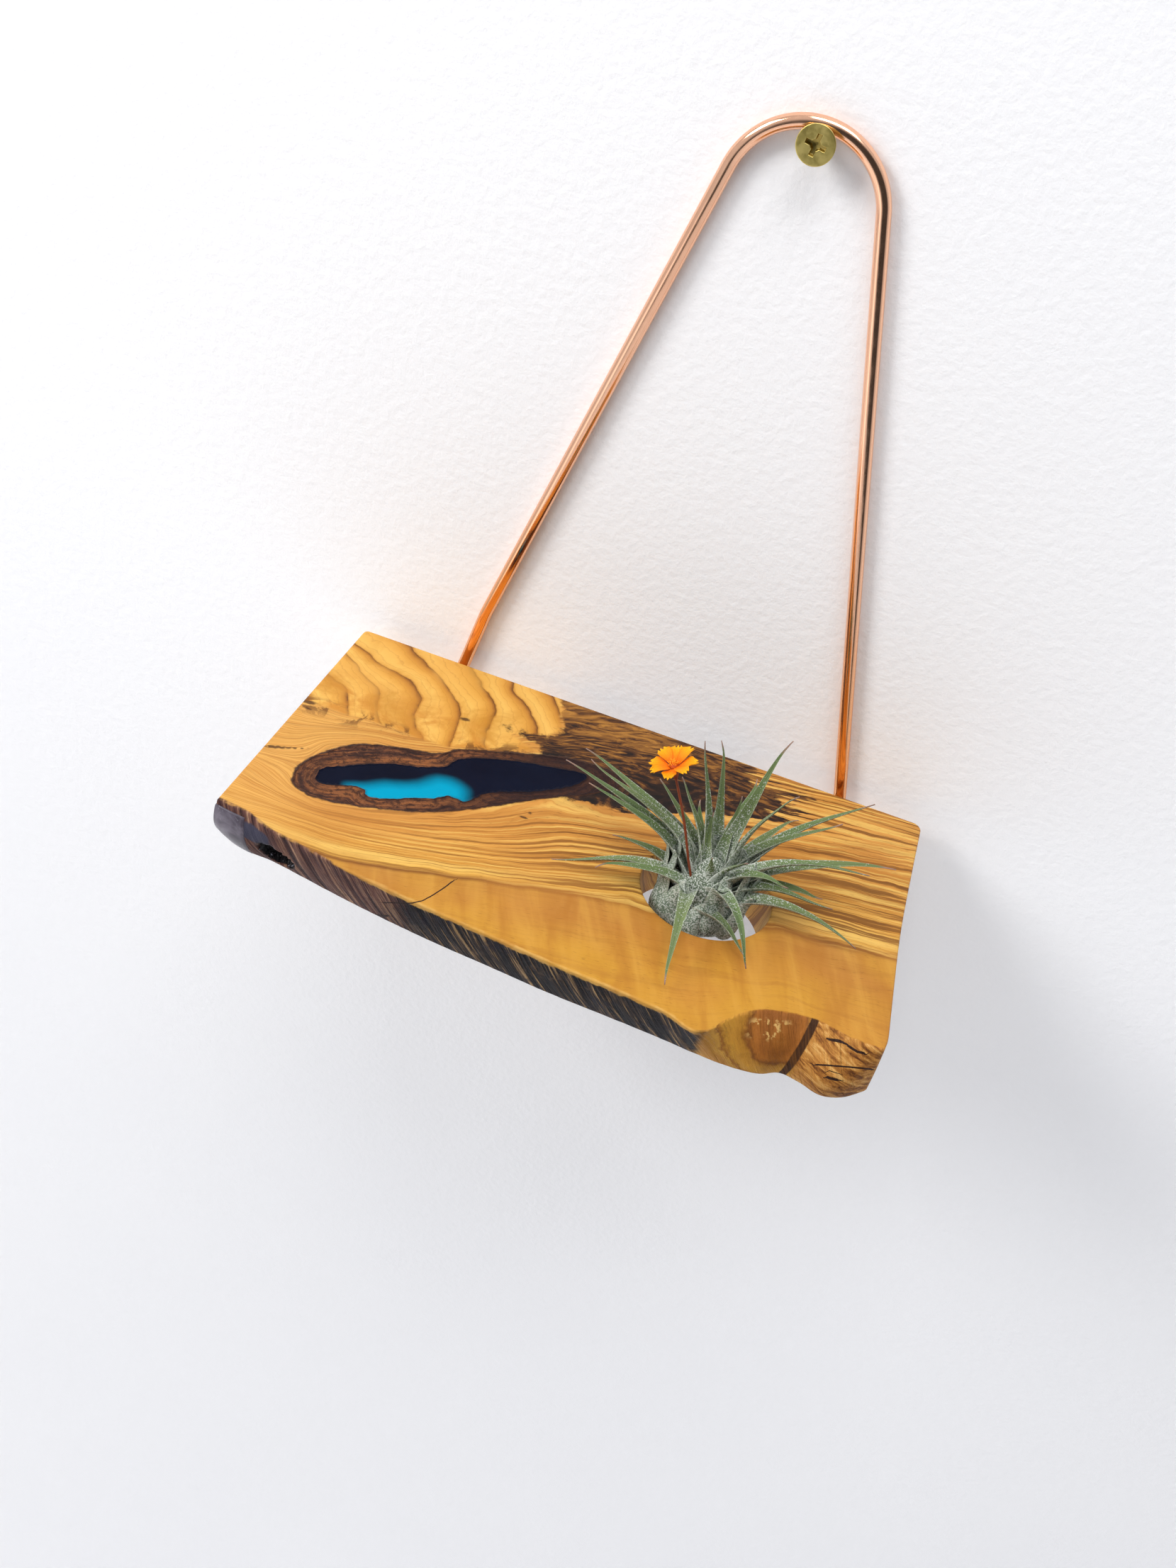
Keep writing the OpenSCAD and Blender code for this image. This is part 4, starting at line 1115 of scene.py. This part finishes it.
scales_tree = scale_group()
leaf_mat, co = material("scaly_leaf")
along, rim, tint = attribute("along"), attribute("rim"), attribute("tint")
veins = noise(joined(rim * 7.0, along * 6.0, tint * 50.0), 1.0, 3, 0.6)
green = mix(veins, lit(84, 108, 62), lit(126, 146, 92))
green = mix(span(tint, 0.0, 1.0, 0.0, 0.45), green, lit(138, 150, 98))
base_green = mix(noise(co, 600, 3), lit(112, 132, 108), lit(160, 174, 148))
green = mix(span(along, 0.5, 0.0), green, base_green)
green = mix(span(rim, 0.78, 1.0, 0.0, 0.5), green, lit(196, 206, 178))
green = mix(span(rim, 0.35, 0.0, 0.0, 0.35), green, lit(60, 80, 52))
dry = span((noise(co, 400, 3) - 0.5) * 0.14 + along, 0.9, 0.975)
green = mix(dry, green, mix(veins, lit(138, 100, 84), lit(196, 164, 146)))
cover = span(along, 0.0, 0.8, 0.42, -0.02, smooth=False)
cover = cover + span(rim, 0.75, 1.0, 0.0, 0.14)
cover = attribute("under") * 0.12 + cover
cover = (noise(co, 170, 3) - 0.5) * 0.25 + cover
white = scales(co, cover)
leaf_colour = mix(white * 0.75, green, lit(236, 240, 230))
skin({"Base Color": leaf_colour, "Roughness": 0.75, "Specular IOR Level": 0.2, "Sheen Weight": 0.08,
      "Subsurface Weight": 0.06, "Subsurface Radius": (0.001, 0.0014, 0.0006),
      "Normal": bump(white, 0.00014, 0.7, bump(veins, 0.0002, 0.5))})
for i, row in enumerate(LEAVES):
    shape, along_at, rim_at, under_at = leaf_shape(row, 100 + i)
    leaf = piece(f"blade_{i + 1:02d}", shape, "air_plant", f"leaf_{i + 1:02d}", leaf_mat)
    fields(leaf, along=along_at, rim=rim_at, under=under_at, tint=np.full(len(rim_at), (i * 0.37) % 1.0))


def turned(profile, sides, ripple=0.0, lobes=0, at=(0, 0, 0)):
    """A turned shape round +Z through the profile points (radius, height), with ripple lobes round it."""
    r, z = np.array(profile, float).T[:, :, None]
    angle = around_circle(sides)
    r = r * (1 + ripple * np.cos(lobes * angle))
    points, faces = closed_rings(np.stack(np.broadcast_arrays(r * np.cos(angle), r * np.sin(angle), z), -1),
                                 [[0, 0, z[0, 0]], [0, 0, z[-1, 0]]])
    return points + at, faces


BULB = [(0.4, -8.2), (5.6, -8.1), (7.2, -7.4), (8.1, -5.6), (8.4, -2.6), (8.2, 0), (7.1, 3), (5.2, 5.6),
        (3.2, 8), (1.4, 9.9), (0.2, 10.8)]


def sheath(row, seed):
    """The broad lower end of a leaf, wrapped round the bulb: closed rings along a cubic from low on the bulb
    up its side to a quarter of the way along the blade. Its edges turn in towards the axis."""
    c, _ = blade_line(row)
    u = 0.26
    way = 3 * (1 - u)**2 * (c[1] - c[0]) + 6 * (1 - u) * u * (c[2] - c[1]) + 3 * u * u * (c[3] - c[2])
    swell = 0.15 + 0.5 * np.random.default_rng(seed).uniform()
    start_z = -7.6 + 0.75 * row[1]
    fuller = 1.4 * (1 + math.cos(math.radians(row[0] - 222)))
    start = PLANT + heading(row[0]) * (6.6 + swell - 0.1 * row[1] + fuller) + (0, 0, start_z)
    belly = PLANT + heading(row[0]) * (10.4 + swell - 0.45 * row[1] + fuller) + (0, 0, start_z + 3.2)
    t = np.linspace(0, 1, 26)[:, None]
    line = cubic([start, belly, cubic(c, u) - unit(way) * 3.2, cubic(c, u)], t)
    way = unit(np.gradient(line, axis=0))
    side = unit(np.cross(way, unit((line - PLANT) * (1, 1, 0))))
    broad = 1.05 + 0.75 * np.sin(np.clip(t * 1.15 + 0.12, 0, 1) * np.pi) * (1 - t)
    width = min(row[7], 4.8) * broad * np.clip(t * 6 + 0.3, 0, 1)
    across = np.cos(AROUND)
    depth = 0.42 * np.sin(AROUND) * (1 - 0.3 * t) - (0.30 - 0.05 * t) * width * (across**2 - 0.3)
    return blade(line, side, np.cross(side, way), t, width / 2 * across, depth)


core_mat, co = material("scaly_leaf_bases")
low = attribute("low")
base_green = mix(noise(co, 500, 3), lit(104, 124, 100), lit(154, 168, 146))
# Darker olive low on the leaf bases, and partly over the bulb, down in the hole: painted shade.
base_green = mix(span(low, 0.32, 0.0), base_green, lit(88, 88, 66))
base_green = mix(span(attribute("rim"), 0.75, 1.0, 0.0, 0.6), base_green, lit(206, 214, 192))
base_green = mix(span(attribute("rim"), 0.5, 0.0, 0.0, 0.45), base_green, lit(66, 84, 62))
white = scales(co, (noise(co, 160, 3) - 0.5) * 0.3 + 0.38)
skin({"Base Color": mix(white * 0.7, base_green, lit(236, 240, 230)), "Roughness": 0.78,
      "Specular IOR Level": 0.2, "Sheen Weight": 0.08, "Normal": bump(white, 0.00014, 0.7)})
bases = Solid()
bases.add(*turned(BULB, 96, 0.03, 9, PLANT))
low_at, rim_at = [np.full(bases.count, 0.2)], [np.zeros(bases.count)]
for i, row in enumerate(LEAVES):
    if row[1] < 6:
        shape, along_at, across_at = sheath(row, 300 + i)
        bases.add(*shape)
        low_at.append(along_at)
        rim_at.append(across_at)
core = piece("leaf_bases", bases.shape(), "air_plant", "plant_core", core_mat)
fields(core, low=np.concatenate(low_at), rim=np.concatenate(rim_at))

root_mat, co = material("dry_roots")
fibre = noise(co, 1100, 4, 0.65)
skin({"Base Color": mix(fibre, srgb(52, 38, 26), srgb(132, 104, 72)), "Roughness": 0.85,
      "Normal": bump(fibre, 0.0003, 0.7)})
root_shape = turned([(0.4, -9.1), (1.6, -9.05), (3.0, -8.8), (4.2, -8.3), (4.6, -7.6)], 64, 0.06, 7, PLANT)
piece("root_end", root_shape, "air_plant", "root_stub", root_mat)

# ---------------------------------------------------------------- Flower
# A small dried orange flower on a thin stem, stuck in among the leaf bases: a funnel of bracts, eight notched
# petals and a tuft of stamens.

STEM_ROOT = np.array([102.9, -56.8, 10.0])
LEAN, NOD = math.radians(21.5), math.radians(4)
STEM_LEN, STEM_SUNK, CALYX_H = 21.4, 8.0, 3.4
PETALS = 8


def in_flower(points):
    """From the flower's own upright frame to the shelf: leaned to the left about its root."""
    c, s = math.cos(LEAN), math.sin(LEAN)
    return np.asarray(points) @ np.array([[c, 0, s], [0, 1, 0], [-s, 0, c]]) + STEM_ROOT


def in_head(points):
    """As in_flower, for the head: it first nods forward about the stem's top."""
    c, s = math.cos(NOD), math.sin(NOD)
    top = (0, 0, STEM_LEN)
    return in_flower((np.asarray(points) - top) @ np.array([[1, 0, 0], [0, c, s], [0, -s, c]]) + top)


stem_mat, co = material("dry_stem")
blotch = noise(co, 500, 3)
skin({"Base Color": mix(blotch, srgb(96, 38, 18), srgb(146, 66, 30)), "Roughness": 0.55,
      "Normal": bump(noise(co, 1600, 3), 0.0001, 0.5)})
up = np.linspace(-STEM_SUNK, STEM_LEN + 0.1, 60)
bow = 0.35 * np.clip(np.sin(np.clip(up, 0, STEM_LEN) / STEM_LEN * np.pi), 0, 1) * (up > 0)
stem_line = in_flower(np.stack([bow, 0 * up, up], 1))
way = unit(np.gradient(stem_line, axis=0))
piece("flower_stalk", tube(stem_line, way, 0.29, 14, (0, 1, 0)), "flower", "flower_stem", stem_mat)

calyx_mat, co = material("dry_bracts")
rise = attribute("rise")
bract = mix(span(rise, 0.1, 1.0), srgb(134, 44, 12), srgb(204, 92, 18))
ribs = noise(co, 900, 3)
skin({"Base Color": mix(ribs * 0.4, bract, srgb(90, 30, 12)), "Roughness": 0.6,
      "Normal": bump(ribs, 0.0001, 0.5)})
CUP = [(0.25, 0), (0.42, 0.2), (0.6, 0.8), (0.85, 1.6), (1.2, 2.5), (1.55, 3.1), (1.62, 3.35), (1.2, 3.4),
       (0.4, 3.2)]
points, faces = turned(CUP, 64, 0.05, 8)
calyx = piece("bract_cup", (in_head(points + (0, 0, STEM_LEN)), faces), "flower", "flower_calyx", calyx_mat)
fields(calyx, rise=np.clip(points[:, 2] / CALYX_H, 0, 1))

petal_mat, co = material("orange_petal")
along, rim = attribute("along"), attribute("rim")
pleat = noise(joined(rim * 9.0, along * 1.5), 1.0, 2, 0.5)
petal_colour = mix(span(along, 0.1, 0.75), lit(255, 122, 0, 0.85), lit(255, 162, 0, 0.85))
petal_colour = mix(span(along, 0.72, 1.0, 0.0, 0.75), petal_colour, lit(255, 198, 24, 0.8))
petal_colour = mix(span(pleat, 0.4, 0.7) * 0.45, petal_colour, lit(255, 130, 0, 0.75))
# The faint orange emission is a painted glow; the petals are no lamp.
skin({"Base Color": petal_colour, "Roughness": 0.6, "Specular IOR Level": 0.2, "Subsurface Weight": 0.15,
      "Subsurface Radius": (0.002, 0.001, 0.0002), "Emission Color": srgb(255, 110, 0),
      "Emission Strength": 0.05, "Normal": bump(pleat, 0.0003, 0.8)})


def petal_shape(i):
    """A petal: a grid along (t) and across (v) of a cupped blade whose outer edge has notches, with a thin
    back copy that closes it. It follows the CAD petal's centre line."""
    rng = np.random.default_rng(40 + i)
    spin = 2 * np.pi * i / PETALS
    rise = math.radians(27 + 15 * math.sin(spin) + (4 if i % 2 else -4) + rng.uniform(-4, 4))
    t, v = np.meshgrid(np.linspace(0, 1, 22), np.linspace(-1, 1, 21), indexing="ij")
    notch = 1 - 0.085 * (1 - np.cos(v * np.pi * 2.9)) * np.clip((t - 0.7) / 0.3, 0, 1)
    length = 4.9 * (1 + rng.uniform(-0.08, 0.03))
    s = t * length * notch * (1 - 0.14 * v**2 * t**2)
    slope = rise - (rise - math.radians(4)) * t**1.3 / 2
    half = 0.36 + 1.24 * np.sin(np.clip(t * 1.22, 0, 1) * 1.92) * np.sqrt(np.clip(1 - (t / 1.06)**8, 0, 1))
    cupped = 0.55 * v**2 * half / 1.6 * (0.4 + t) - 0.06 * np.cos(v * 9) * t
    twisted = 0.16 * np.sin(t * 5 + rng.uniform(0, 6)) * v
    z = 0.05 + (i % 2) * 0.3 + s * np.sin(slope) + cupped + twisted
    top = np.stack([1.05 + s * np.cos(slope), v * half, z], -1).reshape(-1, 3)
    c, sn = math.cos(spin), math.sin(spin)
    both = np.concatenate([top, top - (0, 0, 0.12)]) @ np.array([[c, sn, 0], [-sn, c, 0], [0, 0, 1]])
    m, n = t.shape
    a = (np.arange(m - 1)[:, None] * n + np.arange(n - 1)[None]).ravel()
    upper = np.stack([a, a + n, a + n + 1, a + 1], 1)
    edge = np.concatenate([np.arange(n), n - 1 + n * np.arange(1, m), (m - 1) * n + np.arange(n - 2, -1, -1),
                           n * np.arange(m - 2, 0, -1)])
    hem = np.stack([edge, np.roll(edge, -1), np.roll(edge, -1) + m * n, edge + m * n], 1)
    faces = np.concatenate([upper, upper[:, ::-1] + m * n, hem]).tolist()
    return (in_head(both + (0, 0, STEM_LEN + CALYX_H)), faces), np.tile(t.ravel(), 2), np.tile(v.ravel(), 2)


for i in range(PETALS):
    shape, along_at, rim_at = petal_shape(i)
    petal = piece(f"floret_petal_{i + 1}", shape, "flower", f"petal_{i + 1}", petal_mat)
    fields(petal, along=along_at, rim=rim_at)

disc_mat, co = material("stamens")
rise = attribute("rise")
skin({"Base Color": mix(rise, srgb(196, 84, 4), srgb(255, 170, 16)), "Roughness": 0.6,
      "Normal": bump(noise(co, 2000, 2), 0.0001, 0.4)})


def stamens():
    """A low dome with short thick hairs that lean out from it, and how high each point is on its hair."""
    hairs, top = 22, STEM_LEN + CALYX_H
    made = Solid()
    made.add(*turned([(0.9, top), (0.88, top + 0.25), (0.62, top + 0.55), (0.2, top + 0.7)], 32))
    rise_at = [np.zeros(made.count)]
    rng = np.random.default_rng(9)
    for k in range(hairs):
        r = 0.85 * math.sqrt((k + 0.5) / hairs)
        out = r * np.array([math.cos(2.4 * k), math.sin(2.4 * k), 0])
        lean = unit(out * 0.55 + (0, 0, 1))
        line = out + (0, 0, top + 0.3) + lean * np.linspace(0, rng.uniform(0.8, 1.25), 5)[:, None]
        points, faces = tube(line, np.tile(lean, (5, 1)), [0.09, 0.07, 0.07, 0.11, 0.06], 7, (1, 0, 0.1))
        made.add(points, faces)
        rise_at.append(np.clip((points[:, 2] - top - 0.3) / 1.1, 0, 1))
    points, faces = made.shape()
    return (in_head(points), faces), np.concatenate(rise_at)


shape, rise_at = stamens()
fields(piece("stamen_tuft", shape, "flower", "flower_disc", disc_mat), rise=rise_at)
